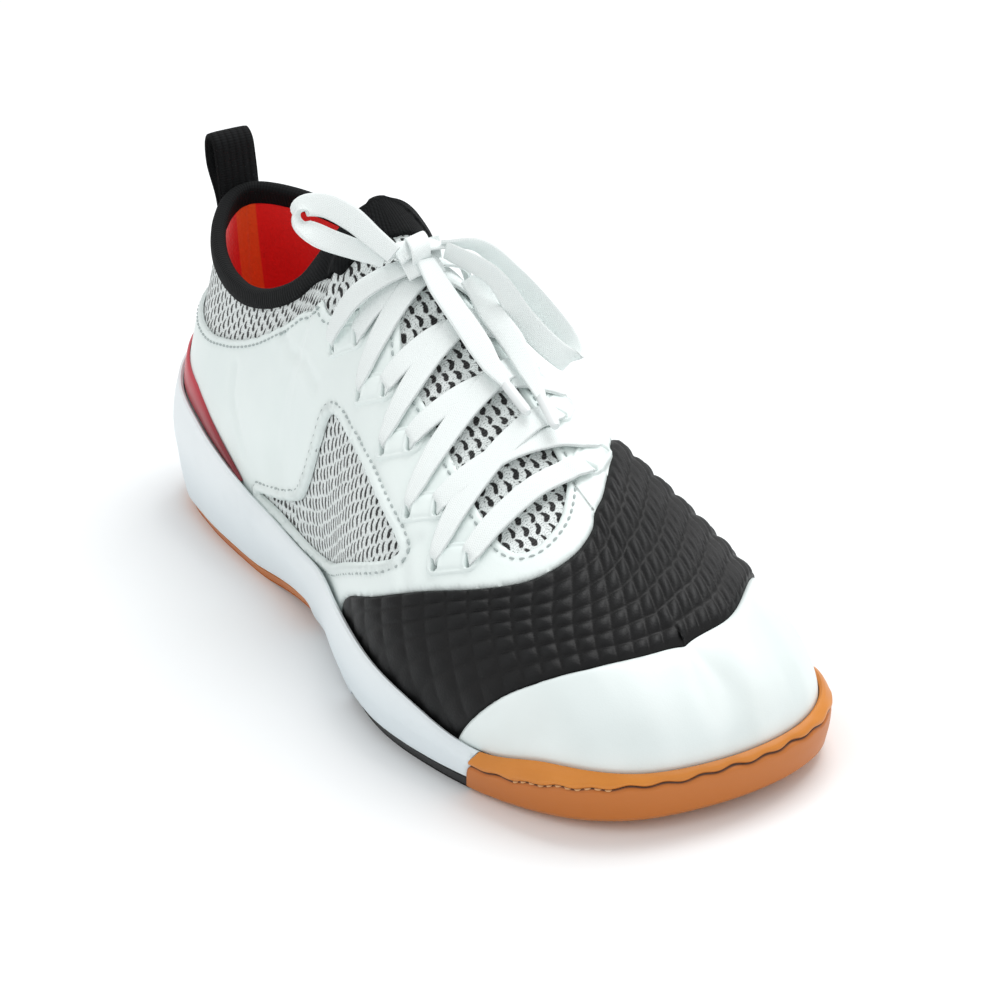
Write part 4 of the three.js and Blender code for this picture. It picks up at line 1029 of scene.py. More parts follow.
@dataclass(frozen=True)
class Ribbed:
    """Knitted or woven polyester with fine ribs, black and matt."""

    name: str
    ground: str
    pitch: float
    depth: float

    def make(self) -> bpy.types.Material:
        """Return the material, ribbed across the piece's own map."""
        s = Sheet(self.name)
        uv, u, v = s.map()
        rib = s.ribs(v * (math.pi / self.pitch))
        stitch = s.ribs(u * (math.pi / 0.8))
        fuzz = s.noise(uv, 3.0, 3.0)
        height = rib * 0.6 + stitch * 0.25 + fuzz * 0.3
        # Painted highlight: the ribs' crests are painted a lighter grey, patchy with the fuzz
        base = s.mix(rib * fuzz * 0.5, self.ground, "#202426")
        return s.finish(base, 0.85, height, self.depth, 0.8, specular_ior_level=0.2)


@dataclass(frozen=True)
class Foam:
    """Moulded EVA foam: matt skin with fine pores."""

    def make(self) -> bpy.types.Material:
        """Return the material."""
        s = Sheet("moulded EVA foam")
        at = s.places()
        cloud = s.noise(at, 35.0, 4.0)
        # Painted shade: the foam is painted darker towards the floor and lighter higher up
        base = s.mix(s.ramp(s.split(at)[2], 0.004, 0.03), "#dde6ea", "#eef4f6")
        base = s.mix(s.ramp(cloud, 0.5, 0.8) * 0.2, base, "#ccd5da")
        pores = s.cells(at, 1300.0)
        height = pores * 0.4 + s.noise(at, 240.0, 4.0) * 0.6
        return s.finish(base, 0.62, height, 0.12, 0.5)


@dataclass(frozen=True)
class Rubber:
    """Moulded rubber with a soft gloss, its lip a little lighter."""

    name: str
    ground: str
    light: str
    dark: str
    roughness: float
    lower: str = ""

    def make(self) -> bpy.types.Material:
        """Return the material."""
        s = Sheet(self.name)
        at = s.places()
        cloud = s.noise(at, 40.0, 3.0)
        tint = s.tint()
        base = s.mix(s.ramp(cloud, 0.35, 0.7), self.ground, self.light)
        base = s.mix(s.ramp(tint, 0.05, 0.4), base, self.lower or self.ground)
        # Painted shade: where the tint passes one half, in the bumper's groove, the rubber is painted dark
        base = s.mix(s.ramp(tint, 0.5, 1.0), base, self.dark)
        grain = s.noise(at, 420.0, 4.0) + s.noise(at, 2400.0, 1.0) * 0.5
        return s.finish(base, self.roughness, grain, 0.08, 0.5, coat_weight=0.08, coat_roughness=0.4)


@dataclass(frozen=True)
class Woven:
    """Flat tubular lace of bright white polyester in a fine herringbone."""

    def make(self) -> bpy.types.Material:
        """Return the material, woven on the piece's own map."""
        s = Sheet("woven polyester lace")
        _, u, v = s.map()
        slant = u / 0.62 + s.calc("PINGPONG", v / 0.9, 1.0) * 1.2
        twill = s.ribs(slant * math.pi)
        warp = s.ribs(v * (math.pi / 0.45))
        height = twill * 0.6 + warp * 0.4
        # Painted shade: the weave's hollows are painted grey
        base = s.mix((1.0 - height) * 0.3, "#f3f9f8", "#b6c2c1")
        return s.finish(base, 0.75, height, 0.16, 0.6, sheen_weight=0.25, sheen_roughness=0.4)


@dataclass(frozen=True)
class Plain:
    """A small part's finish of one colour, with a fine grain."""

    name: str
    ground: str
    roughness: float
    grain: float = 900.0

    def make(self) -> bpy.types.Material:
        """Return the material."""
        s = Sheet(self.name)
        at = s.places()
        cloud = s.noise(at, self.grain, 2.0)
        base = s.mix(cloud * 0.3, self.ground, "#808080")
        return s.finish(base, self.roughness, cloud, 0.04, 0.4)


@dataclass(frozen=True)
class Trim:
    """Heat-pressed red film, dark maroon, painted pale pink higher up as a painted highlight, so that it is
    darkest low down at its front tip.
    """

    def make(self) -> bpy.types.Material:
        """Return the material."""
        s = Sheet("heat-pressed red film")
        at = s.places()
        # Painted highlight: the film is painted pale pink higher up and left dark maroon lower down
        base = s.mix(s.ramp(s.split(at)[2], 0.03, 0.05), "#7a1520", "#c93a48")
        return s.finish(base, 0.4, s.noise(at, 1200.0, 2.0), 0.05, 0.5, coat_weight=0.15)


# ---------------------------------------------------------------- the upper


def to_chart(around: np.ndarray, up: np.ndarray) -> np.ndarray:
    """Return places on a flat chart, in millimetres, on which the two sides meet along the ridge."""
    side = np.where(around < 0, 1.0, -1.0)
    return np.stack([np.abs(around) * LENGTH, side * (1 - up) * INSTEP_TOP], axis=1)


def from_chart(chart: np.ndarray) -> tuple:
    """Return the places around and up of places on the chart."""
    around = np.where(chart[:, 1] > 0, -1.0, 1.0) * chart[:, 0] / LENGTH
    return around, 1 - np.abs(chart[:, 1]) / INSTEP_TOP


def charted(line: list, step: float, closed: bool = False) -> np.ndarray:
    """Return a smooth line through a table of places on the skin, as close places on the chart."""
    table = np.array(line, float)
    flat = to_chart(table[:, 0], table[:, 1])
    curve = Curve(np.column_stack([flat, np.zeros(len(flat))]), closed)
    return curve.at(curve.even(np.linspace(0, 1, int(curve.length / step) + 1)))[:, :2]


def inside(spots: np.ndarray, ring: np.ndarray) -> np.ndarray:
    """Return which spots lie inside a closed flat line."""
    found = np.zeros(len(spots), bool)
    x, y = spots[:, 0], spots[:, 1]
    for (ax, ay), (bx, by) in zip(ring, np.roll(ring, -1, axis=0)):
        if ay != by:
            crosses = ((ay > y) != (by > y)) & (x < (bx - ax) * (y - ay) / (by - ay) + ax)
            found ^= crosses
    return found


def marked(count: int, picked: np.ndarray) -> np.ndarray:
    """Return which of a number of places are picked."""
    mask = np.zeros(count, bool)
    mask[np.ravel(picked)] = True
    return mask


def distances(places: np.ndarray, line: np.ndarray) -> tuple:
    """Return each place's distance to the nearest place of a line, and which that is."""
    tree = KDTree(len(line))
    for i, p in enumerate(line):
        tree.insert(p, i)
    tree.balance()
    found = [tree.find(p) for p in places]
    return np.array([f[2] for f in found]), np.array([f[1] for f in found])


def filled(places: np.ndarray) -> np.ndarray:
    """Return how far the panels bridge the shallow hollow on the toe's ridge, at places."""
    beside = hump(places[:, 0], RIDGE_SHIFT, 2.1)
    return 0.8 * beside * smooth(-237, -222, places[:, 1]) * smooth(-209, -214, places[:, 1])


@dataclass
class Ground:
    """The skin as a fine mesh, to lay things on."""

    last: Last
    columns: int = 420
    rows: int = 90

    def __post_init__(self) -> None:
        """Make the mesh and its search tree."""
        around, up = grid(np.linspace(-1, 1, self.columns), np.linspace(-0.08, 1, self.rows))
        self.verts = self.last.skin(around, up)
        self.normals = self.last.normal(around, up)
        self.quads = lattice(self.columns, self.rows)
        self.tree = BVHTree.FromPolygons(self.verts.tolist(), self.quads.tolist())

    def lay(self, places: np.ndarray) -> tuple:
        """Return the nearest places on the skin and its directions there."""
        spots, ways = np.empty_like(places), np.empty_like(places)
        for k, place in enumerate(places):
            spot, _, index, _ = self.tree.find_nearest(Vector(place))
            corners = self.quads[index]
            near = 1 / (np.linalg.norm(self.verts[corners] - np.array(spot), axis=1) + 1e-3)
            spots[k] = spot
            ways[k] = (self.normals[corners] * near[:, None]).sum(axis=0)
        return spots, unit(ways)


@dataclass
class Tab:
    """The flat frame of one eyelet tab on the skin."""

    last: Last
    outer: tuple
    inner: tuple

    def __post_init__(self) -> None:
        """Work out the tab's middle, its ways on the skin and its slots."""
        (a0, u0), (a1, u1) = self.outer, self.inner
        self.around, self.up = (a0 + a1) / 2, (u0 + u1) / 2
        step = 0.002
        at = self.last.spot
        self.by_around = (at(self.around + step, self.up) - at(self.around - step, self.up)) / (2 * step)
        self.by_up = (at(self.around, self.up + step) - at(self.around, self.up - step)) / (2 * step)
        self.way = unit(self.by_around * (a1 - a0) + self.by_up * (u1 - u0))
        self.out = self.last.out(self.around, self.up)
        self.side = unit(np.cross(self.out, self.way))
        self.middle = at(self.around, self.up)
        self.slots = [float(np.dot(at(*spot) - self.middle, self.way)) for spot in (self.outer, self.inner)]

    def place(self, far: bool) -> tuple:
        """Return where the slot away from the throat is, or the one beside it."""
        return self.outer if far else self.inner

    def skin(self, x: np.ndarray, y: np.ndarray) -> tuple:
        """Return the places around and up of flat places on the tab."""
        move = x[:, None] * self.way + y[:, None] * self.side
        a, u = move @ self.by_around, move @ self.by_up
        aa, au, uu = self.by_around @ self.by_around, self.by_around @ self.by_up, self.by_up @ self.by_up
        whole = aa * uu - au * au
        return self.around + (a * uu - u * au) / whole, self.up + (u * aa - a * au) / whole

    def pill(self, x: np.ndarray, y: np.ndarray) -> np.ndarray:
        """Return how far flat places lie inside the tab's rounded outline, in millimetres."""
        dx = np.abs(x) - TAB_LENGTH / 2 + TAB_CORNER
        dy = np.abs(y) - TAB_WIDTH / 2 + TAB_CORNER
        outside = np.hypot(np.maximum(dx, 0), np.maximum(dy, 0))
        return TAB_CORNER - outside - np.minimum(np.maximum(dx, dy), 0)


@dataclass
class Upper:
    """Knitted upper with its lining, collar band and pull loop."""

    last: Last
    columns: int = 420
    rows: int = 74
    roll: float = 1.5

    def knit(self) -> bpy.types.Object:
        """Build the knit wall, lined on its inner side, and return it."""
        a = np.linspace(-1, 1, self.columns)
        u = np.linspace(0, 1, self.rows)
        around, up = grid(a, u)
        outer = self.last.skin(around, up)
        net = outer.reshape(self.columns, self.rows, 3)
        steps = np.linalg.norm(np.diff(net, axis=1), axis=2)
        climb = np.concatenate([np.zeros((self.columns, 1)), np.cumsum(steps, axis=1)], axis=1)
        along = running(net[:, self.rows // 2])
        along -= along[self.columns // 2]
        uv = np.stack(np.broadcast_arrays(along[:, None], climb - climb[:, -1:]), axis=2).reshape(-1, 2)
        throat = smooth(0.56, 0.5, np.abs(around)) * smooth(0.5, 0.75, up)
        x, y = outer[:, 0], outer[:, 1]
        puff = throat * (0.35 * np.sin(y / 4.1) + 0.25 * np.sin(y / 2.3 + x / 5))
        outer = outer + self.last.normal(around, up) * puff[:, None]
        inner = self.last.skin(around, up, -KNIT)
        shape = thick(lattice(self.columns, self.rows), outer, inner, uv)
        shape.tint = np.tile(smooth(0.6, 0.57, np.abs(around)) * smooth(0.47, 0.53, up), 2)
        piece = build("upper_knit", shape, [Knit().make(), Lining().make()])
        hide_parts("upper")
        return piece

    def collar(self) -> bpy.types.Object:
        """Build the padded collar band and return it."""
        rows = np.array(COLLAR_LINE, float)
        scale = np.array([LENGTH, INSTEP_TOP, LENGTH])
        curve = Curve(rows * scale)
        made = curve.at(curve.even(np.linspace(0, 1, 170))) / scale
        made[:, 1] = np.minimum(made[:, 1], 1)
        made[0], made[-1] = rows[0], rows[-1]
        # The inner side mirrors the outer one
        rows = np.vstack([made, made[::-1][1:-1] * np.array([-1, 1, -1])])
        sections, maps = [], []
        face = np.linspace(0, 1, 13)
        turn = np.linspace(0, math.pi, 9)[1:-1]
        for t in face:
            puff = COLLAR_PUFF + self.roll * np.sin(math.pi * min(t * 0.62 + 0.06, 0.5)) ** 0.6
            sections.append(self.last.skin(*self.row_at(rows, t), puff))
            maps.append(t * COLLAR_MAP)
        edge = self.last.skin(rows[:, 2], np.ones(len(rows)), 0)
        out = self.last.normal(rows[:, 2], np.ones(len(rows)))
        rise = unit(edge - self.last.skin(*self.row_at(rows, 0.8), 0))
        high, low = COLLAR_PUFF + self.roll, -KNIT - COLLAR_BACK
        for angle in turn:
            lift = (high + low) / 2 + (high - low) / 2 * math.cos(angle)
            sections.append(edge + out * lift + rise * 2.0 * math.sin(angle))
            maps.append(COLLAR_MAP + angle * 1.6)
        for t in face[::-1]:
            sections.append(self.last.skin(*self.row_at(rows, t), low + 0.5 * (1 - t)))
            maps.append(COLLAR_MAP + 5 + (1 - t) * COLLAR_MAP)
        net = np.stack(sections, axis=1)
        along = running(net[:, 6])
        uv = np.stack(np.broadcast_arrays(np.array(maps)[None, :], along[:, None]), axis=2)
        shape = swept(net, False, uv)
        piece = build("collar_rib", shape, [Ribbed("knitted polyester rib", "#060708", 1.3, 0.35).make()])
        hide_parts("collar_band")
        return piece

    @staticmethod
    def row_at(rows: np.ndarray, t: float) -> tuple:
        """Return places a share of the way from the band's lower edge to the collar's."""
        return rows[:, 0] + (rows[:, 2] - rows[:, 0]) * t, rows[:, 1] + (1 - rows[:, 1]) * t

    def loop(self) -> bpy.types.Object:
        """Build the folded webbing loop on the heel and return it."""
        foot = self.last.spot(1.0, 0.8)
        clear = self.roll + COLLAR_PUFF + WEBBING / 2
        bend = LOOP_DEPTH / 2
        low, high, shoulder = LOOP_FOOT + 12, LOOP_TOP - 10, LOOP_TOP - bend / 2
        route = [
            (LOOP_FOOT, clear), (low, clear), (high, clear), (shoulder, clear + 1), (LOOP_TOP, clear + bend),
            (shoulder, clear + 2 * bend - 1), (high, clear + 2 * bend), (low, clear + WEBBING + 1.3),
            (LOOP_FOOT, clear + WEBBING + 0.3),
        ]
        curve = Curve([(COLLAR_SHIFT, foot[1] + out, height) for height, out in route])
        ways = Curve([(1, 0, 0), (1, 0.02, 0), (1, 0, 0)])
        shape = strap(curve, ways, np.full(91, LOOP_WIDTH), WEBBING, 90)
        piece = build("heel_loop", shape, [Ribbed("woven polyester webbing", "#060607", 2.1, 0.6).make()], 60)
        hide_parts("pull_loop")
        return piece


@dataclass
class Overlays:
    """Film, toe cap, quilted band and red strip laid over the knit."""

    last: Last
    ground: Ground
    tabs: list
    columns: int = 640
    rows: int = 92
    band_rows: int = 7
    band_cells: int = 30
    film: bpy.types.Material = field(init=False)

    def __post_init__(self) -> None:
        """Make the finish that the film and its tabs share."""
        self.film = Film().make()

    @staticmethod
    def toe_line(count: int) -> np.ndarray:
        """Return the toe cap's border as a number of places, each around, up and 0."""
        line = np.array(TOE_LINE, float)
        curve = Curve(np.column_stack([line[:, 0] * LENGTH, line[:, 1] * INSTEP_TOP, 0 * line[:, 0]]))
        return curve.at(np.linspace(0, 1, count)) / np.array([LENGTH, INSTEP_TOP, 1])

    def toe(self) -> bpy.types.Object:
        """Build the toe cap and return it."""
        fine = self.toe_line(800)
        top = lambda a: np.interp(-a, -fine[:, 0], fine[:, 1])
        foot = 0.03
        outer, inner = fine[:440], fine[::-1][:440]
        sides = (inner, outer[outer[:, 1] > -0.02])
        a = np.linspace(*(np.interp(foot + 0.006, side[:, 1], side[:, 0]) for side in sides), 210)
        t = np.concatenate([np.linspace(0, 0.965, 44), [0.98, 0.99, 0.996, 1]])
        around, share = grid(a, t)
        up = foot + (np.maximum(top(around), foot + 0.002) - foot) * share
        places = self.last.skin(around, up)
        edge, _ = distances(places, self.last.skin(fine[:, 0], fine[:, 1]))
        lift = GAP + PADDED - 1.2 * (1 - np.clip(edge / 1.1, 0, 1)) ** 2 + filled(places)
        normal = self.last.normal(around, up)
        outer = self.eased((places + normal * lift[:, None]).reshape(len(a), len(t), 3))
        shape = thick(lattice(len(a), len(t)), outer.reshape(-1, 3), places + normal * GAP)
        look = Film("polyurethane toe film", "#edf5f4", "#dbe7e6", 0.4, 0.2)
        piece = build("toe_cap", shape, [look.make()], 50)
        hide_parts("toe_overlay")
        return piece

    @staticmethod
    def eased(net: np.ndarray) -> np.ndarray:
        """Return a grid of places with the pinch over the toe's tip smoothed out."""
        net = net.copy()
        share = hump(np.linalg.norm(net - net[len(net) // 2, -1], axis=2), 0, 16)[..., None]
        for _ in range(60):
            mean = net.copy()
            mean[1:-1, 1:-1] = (net[2:, 1:-1] + net[:-2, 1:-1] + net[1:-1, 2:] + net[1:-1, :-2]) / 4
            mean[1:-1, -1] = (net[2:, -1] + net[:-2, -1]) / 2
            net += (mean - net) * 0.7 * share
        return net

    def band(self) -> bpy.types.Object:
        """Build the quilted band between the toe cap and the film, and return it."""
        steps, shares = 330, 96
        fine = self.toe_line(900)
        front = self.last.skin(fine[:, 0], fine[:, 1])
        back = self.last.skin(*from_chart(charted(BAND_LINE, 0.3)))
        front, back = Curve(front[::6]), Curve(back[::8])
        s, t = np.linspace(0, 1, steps), np.linspace(0, 1, shares)
        p, q = front.at(front.even(s)), back.at(back.even(s))
        chord = p[:, None] + (q - p)[:, None] * t[None, :, None]
        places, normal = self.ground.lay(chord.reshape(-1, 3))
        net = places.reshape(steps, shares, 3)
        width = np.linalg.norm(q - p, axis=1)[:, None]
        # Rows follow the band, and slanted seams cross them more steeply where it widens
        first = t[None, :] * self.band_rows
        lean = self.band_rows * t[None, :] * (0.85 - 0.25 * smooth(0.4, 0.8, s))[:, None]
        # The cells are long at the outer end and short over the toes
        second = (s - 0.06 * np.sin(2 * math.pi * s))[:, None] * self.band_cells - lean
        rise = [np.abs(np.sin(math.pi * v)) for v in (first, second)]
        puff = (0.5 + 0.5 * smooth(0.08, 0.34, s))[:, None]
        pillow = 1.15 * puff * (rise[0] * rise[1]) ** 0.62
        side = np.minimum(t, 1 - t)[None, :] * width
        pillow = pillow * smooth(0.2, 2.2, side)
        edge = np.clip(side / 1.0, 0, 1)
        lift = GAP + PADDED - 0.85 + pillow - 0.7 * (1 - edge) ** 2 + filled(places).reshape(steps, shares)
        outer = net + normal.reshape(net.shape) * lift[..., None]
        inner = net + normal.reshape(net.shape) * GAP
        shape = thick(lattice(steps, shares), outer.reshape(-1, 3), inner.reshape(-1, 3))
        # Painted highlight: the crests of the pillows are painted lighter
        crest_highlight = np.clip((pillow - 0.45) * 0.9, 0, 1).ravel()
        shape.tint = np.tile(crest_highlight, 2)
        piece = build("quilted_band", shape, [Quilted().make()])
        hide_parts("vamp_band")
        return piece

    def quarter(self) -> bpy.types.Object:
        """Build the film round the heel, its vents and its throat, and return it."""
        a = np.linspace(-1, 1, self.columns)
        u = np.concatenate([[0.03], np.linspace(0.04, 1, self.rows)])
        around, up = grid(a, u)
        chart = to_chart(around, up)
        band, opening = charted(BAND_LINE, 0.2), charted(OPENING_LINE, 0.2)
        vents = [charted([(w * row[0], row[1]) for row in VENT_LINE], 0.2, True) for w in (1, -1)]
        # Both lines are closed far behind the heel
        behind = np.vstack([band, [(9 * LENGTH, w * INSTEP_TOP * 1.06) for w in (1, -1)]])
        mouth = np.vstack([opening, [(1.2 * LENGTH, opening[end, 1]) for end in (-1, 0)]])
        quads = lattice(len(a), len(u))
        quads = quads[np.abs(around[quads]).min(axis=1) > 0.2]
        near = chart[quads]
        near[..., 1] = np.where(np.abs(near[..., 1]) < 1e-9, 0, near[..., 1])
        spots = near.mean(axis=1)
        keep = inside(spots, behind) & ~inside(spots, mouth)
        for vent in vents:
            keep &= ~inside(spots, vent)
        bare = self.last.skin(around, up)
        for tab in self.tabs:
            flat = bare[quads].mean(axis=1) - tab.middle
            close = np.linalg.norm(flat, axis=1) < TAB_LENGTH
            keep &= ~(close & (tab.pill(flat @ tab.way, flat @ tab.side) > TAB_HOLE))
        # The border's places move onto the lines, and the faces beside it give way
        lines = np.vstack([band, opening, *vents])
        border = np.where(marked(len(around), quads[keep]) & marked(len(around), quads[~keep]))[0]
        gap, index = distances(bare[border], self.last.skin(*from_chart(lines)))
        close = gap < SNAP
        chart[border[close]] = lines[index[close]]
        quads = quads[keep]
        near = self.beside(quads, marked(len(around), border[close]))
        chart = self.relaxed(chart, quads, near)
        around, up = [np.where(near, new, old) for new, old in zip(from_chart(chart), (around, up))]
        numbers = np.full(len(around), -1)
        ids = np.unique(quads)
        numbers[ids] = np.arange(len(ids))
        quads, around, up = numbers[quads], around[ids], up[ids]
        places, normal = self.last.skin(around, up), self.last.normal(around, up)
        lift, tint = self.relief(places, band, opening, vents)
        shape = thick(quads, places + normal * lift[:, None], places + normal * GAP)
        shape.tint = np.tile(tint, 2)
        piece = build("quarter_film", shape, [self.film], 60)
        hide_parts("quarter_overlay")
        return piece

    @staticmethod
    def beside(quads: np.ndarray, fixed: np.ndarray) -> np.ndarray:
        """Return which places lie within three faces of the fixed ones."""
        near = fixed.copy()
        for _ in range(3):
            near |= marked(len(near), quads[near[quads].any(axis=1)])
        return near

    @staticmethod
    def relaxed(chart: np.ndarray, quads: np.ndarray, near: np.ndarray) -> np.ndarray:
        """Even out the places near the border, but not on it, and return all places on the chart."""
        inner = ~marked(len(chart), np.array(rims(quads)))
        free = near & inner & (np.abs(chart[:, 1]) > 3) & (chart[:, 0] < LENGTH * 0.99)
        edges = np.concatenate([quads[:, [k, (k + 1) % 4]] for k in range(4)])
        for _ in range(6):
            total, count = np.zeros_like(chart), np.zeros(len(chart))
            for k in (0, 1):
                np.add.at(total, edges[:, k], chart[edges[:, 1 - k]])
                np.add.at(count, edges[:, k], 1)
            chart = np.where(free[:, None], total / np.maximum(count, 1)[:, None], chart)
        return chart

    def relief(self, places: np.ndarray, band: np.ndarray, opening: np.ndarray, vents: list) -> tuple:
        """Return how far each place of the film's face stands off the skin, and the painted shade that it
        carries.
        """
        lift = np.full(len(places), FILM_TOP)
        tint = np.zeros(len(places))
        lines = [self.last.skin(*from_chart(line[::2])) for line in (band, opening, *vents)]
        far = [distances(places, line)[0] for line in lines]
        vent = np.minimum(far[2], far[3])
        # A vent has a moulded border and a groove for its seam, the opening a groove alone
        lift += 0.75 * hump(vent, 1.5, 1.1) - 0.45 * hump(vent, VENT_SEAM, 0.5)
        lift -= 0.3 * hump(far[1], OPENING_SEAM, 0.6)
        # Painted shade in the seam grooves of the vents and the opening
        tint += 0.22 * hump(vent, VENT_SEAM, 0.45) + 0.12 * hump(far[1], OPENING_SEAM, 0.5)
        for hand in (1, -1):
            for crease in CREASES:
                line = self.last.skin(*from_chart(charted([(hand * w, up) for w, up in crease], 0.6)))
                off = distances(places, line)[0]
                lift += 0.2 * hump(off, 3.4, 2.0) - 0.42 * hump(off, 0, 1.9)
                # Painted shade along the crease's trough
                tint += 0.05 * hump(off, 0, 1.8)
        edge = np.minimum(np.minimum(far[0], far[1]), vent)
        lift -= (0.55 * OVERLAY) * (1 - np.clip(edge / 0.9, 0, 1)) ** 2
        return lift + self.wave(places), np.clip(tint, 0, 1)

    @staticmethod
    def wave(places: np.ndarray) -> np.ndarray:
        """Return the soft unevenness of the film at places, in millimetres."""
        x, y, z = places.T
        return 0.22 * np.sin(y / 13 + z / 9) * np.sin(z / 11 - x / 17)

    def eyelets(self) -> bpy.types.Object:
        """Build the raised tabs with their slots, as one piece, and return it."""
        made = []
        columns, rows = 64, 44
        x, y = grid(np.linspace(-9.2, 9.2, columns), np.linspace(-6.2, 6.2, rows))
        for tab in self.tabs:
            around, up = tab.skin(x, y)
            pill = tab.pill(x, y)
            lift = FILM_TOP - 0.6 + 1.25 * smooth(-0.9, 0.7, pill) + 0.25 * smooth(0.5, 3.5, pill)
            lift -= 0.3 * hump(pill, 1.2, 0.5)
            # Painted shade round the tab's edge, where it steps down to the film
            tint = 0.12 * hump(pill, -0.1, 0.5)
            for slot in tab.slots:
                dx, dy = np.abs(x - slot), np.maximum(np.abs(y) - 2.3, 0)
                hole = np.hypot(dx, dy) - 0.85
                lift += 0.42 * hump(hole, 0.6, 0.45)
                lift -= 2.4 * smooth(0.25, -0.35, hole)
                # Painted shade inside the slot
                tint += smooth(0.1, -0.3, hole)
            places = self.last.skin(around, up, lift)
            made.append(Shape(places, lattice(columns, rows).tolist(), None, None, np.clip(tint, 0, 1)))
        shape = joined(made)
        piece = build("eyelet_tabs", shape, [self.film], tidy=False)
        return piece

    def strip(self) -> bpy.types.Object:
        """Build the red strip round the heel and return it."""
        tip = 0.7
        a = np.concatenate([np.linspace(tip, 1, 110), -np.linspace(1, tip, 110)[1:]])
        taper = np.minimum((np.abs(a) - tip) / 0.12, 1) ** 0.8
        low = self.last.rim_up(a) - 0.004
        height = self.last.skin(a, np.ones(len(a)))[:, 2] - self.last.skin(a, np.zeros(len(a)))[:, 2]
        high = low + 0.003 + 7.0 * taper / height
        base = FILM_TOP + GAP / 2
        profile = [*STRIP_PROFILE, (0.8, 0), (0.2, 0)]
        sections = [self.last.skin(a, low + (high - low) * t, base + 0.85 * lift) for t, lift in profile]
        piece = build("heel_strip", swept(np.stack(sections, axis=1)), [Trim().make()], 50)
        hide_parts("heel_trim")
        return piece


# ---------------------------------------------------------------- the sole


@dataclass
class Sole:
    """Midsole cup, its rubber treads and toe bumper, and the footbed."""

    last: Last
    columns: int = 360

    def __post_init__(self) -> None:
        """Prepare the columns round the sole."""
        half = np.linspace(0, 1, self.columns // 2)
        self.around = np.concatenate([half, -half[::-1][1:-1]])

    def raised(self, around: np.ndarray, inset: float, height: np.ndarray) -> np.ndarray:
        """Return places on the outline, moved inward and raised."""
        p = self.last.edge(around, inset)
        p[:, 2] = height
        return p

    def wall(self, around: np.ndarray, rows: np.ndarray) -> list:
        """Return the cup's outer side from the tread's edge to the rim, and its inner side down again."""
        last = self.last
        foot = last.edge(around, TREAD_INSET)
        low, high = last.tread_low(foot), last.stack(foot)
        rim = last.rim_up(around)
        middle = (low + TREAD_ROUND + high) / 2
        keys = [
            self.raised(around, TREAD_INSET, low + TREAD_ROUND),
            self.raised(around, TREAD_INSET / 3, middle),
        ]
        for t in (0.0, 0.25, 0.5, 0.75, 1.0):
            keys.append(last.skin(around, rim * t, CUP_GAP + CUP_WALL + (CUP_LIP - CUP_WALL) * t * t))
        net = np.stack(keys, axis=1)
        curves = [Curve(net[i]) for i in range(len(around))]
        outside = np.stack([c.at(c.even(rows)) for c in curves], axis=1)
        inside_ = [last.skin(around, rim * t, CUP_GAP) for t in (0.985, 0.7, 0.35, 0)]
        lip = (outside[-1] + inside_[0]) / 2 + np.array([0, 0, 0.5])
        return [*outside, lip, *inside_]

    def tub(self, around: np.ndarray, inset: float, base: np.ndarray, sides: list) -> np.ndarray:
        """Close the cup's wall below and over the foam, and return the sections.

        Args:
            around: The columns.
            inset: How far the lower face stands in from the outline.
            base: The lower face's height at each column.
            sides: The wall's rows, from its foot over the rim to the footbed.

        Returns:
            Array of columns × rows × 3.
        """
        last = self.last
        under, low = self.raised(around, inset, base), last.middle(around, inset)
        inner_inset = FOOT_INSET - CUP_GAP
        floor = last.stack(last.edge(around, inner_inset))
        inner, top = self.raised(around, inner_inset, floor), last.middle(around, inner_inset)
        low[:, 2], top[:, 2] = base, floor
        return np.stack([low, (low + under) / 2, under, *sides, inner, top], axis=1)

    def midsole(self) -> bpy.types.Object:
        """Build the foam cup and return it."""
        last, a = self.last, self.around
        sides = self.wall(a, np.linspace(0, 1, WALL_ROWS))
        along = HEEL_REST - last.edge(a, 0)[:, 1]
        heel = smooth(HEEL_TREAD_END + STEP_RUN, HEEL_TREAD_END - STEP_RUN, along)
        fore = smooth(FORE_TREAD_START - STEP_RUN, FORE_TREAD_START + STEP_RUN, along)
        base = last.tread_low(last.edge(a, TREAD_INSET)) + np.maximum(heel, fore) * (TREAD + GAP)
        for k, row in enumerate(sides[:WALL_ROWS]):
            row[:, 2] = np.maximum(base + ROW_RISE * k, row[:, 2])
        net = self.tub(a, TREAD_INSET + 0.4, base, sides)
        piece = build("foam_midsole", swept(net, False), [Foam().make()], 50)
        cut(piece, (0, HEEL_REST - BUMPER_START + GAP / 2, 0), FRONT)
        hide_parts("midsole")
        return piece

    def tread(
        self, name: str, node: str, start: float, end: float, look: bpy.types.Material
    ) -> bpy.types.Object:
        """Build a rubber tread between two places along the shoe.

        Args:
            name: The piece's name.
            node: The solid that it stands for.
            start: Where it starts, in millimetres from the heel's back.
            end: Where it ends.
            look: Its material.

        Returns:
            The piece.
        """
        last, a = self.last, self.around
        edge = last.edge(a, TREAD_INSET)
        low = last.tread_low(edge)
        rows = [self.raised(a, inset, low + height) for inset, height in TREAD_PROFILE]
        mid_low, mid_top = last.middle(a, 5.0), last.middle(a, 5.0)
        mid_low[:, 2], mid_top[:, 2] = low, low + TREAD
        ring = [mid_low, mid_low + (rows[0] - mid_low) * 0.55, *rows, mid_top]
        piece = build(name, swept(np.stack(ring, axis=1), False), [look], 40)
        if start > 0:
            cut(piece, (0, HEEL_REST - start, 0), (0, 1, 0))
        if end < BUMPER_START:
            cut(piece, (0, HEEL_REST - end, 0), (0, -1, 0))
        else:
            cut(piece, (0, HEEL_REST - BUMPER_START + GAP, 0), FRONT)
        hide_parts(node)
        return piece

    @staticmethod
    def groove(around: np.ndarray) -> np.ndarray:
        """Return the height of the bumper's wavy groove above the tread."""
        steep = smooth(0.23, 0.1, np.abs(around))
        return GROOVE_HEIGHT - 3.4 + 2.2 * steep + 0.32 * np.sin(around * 230) + 0.16 * np.sin(around * 97)

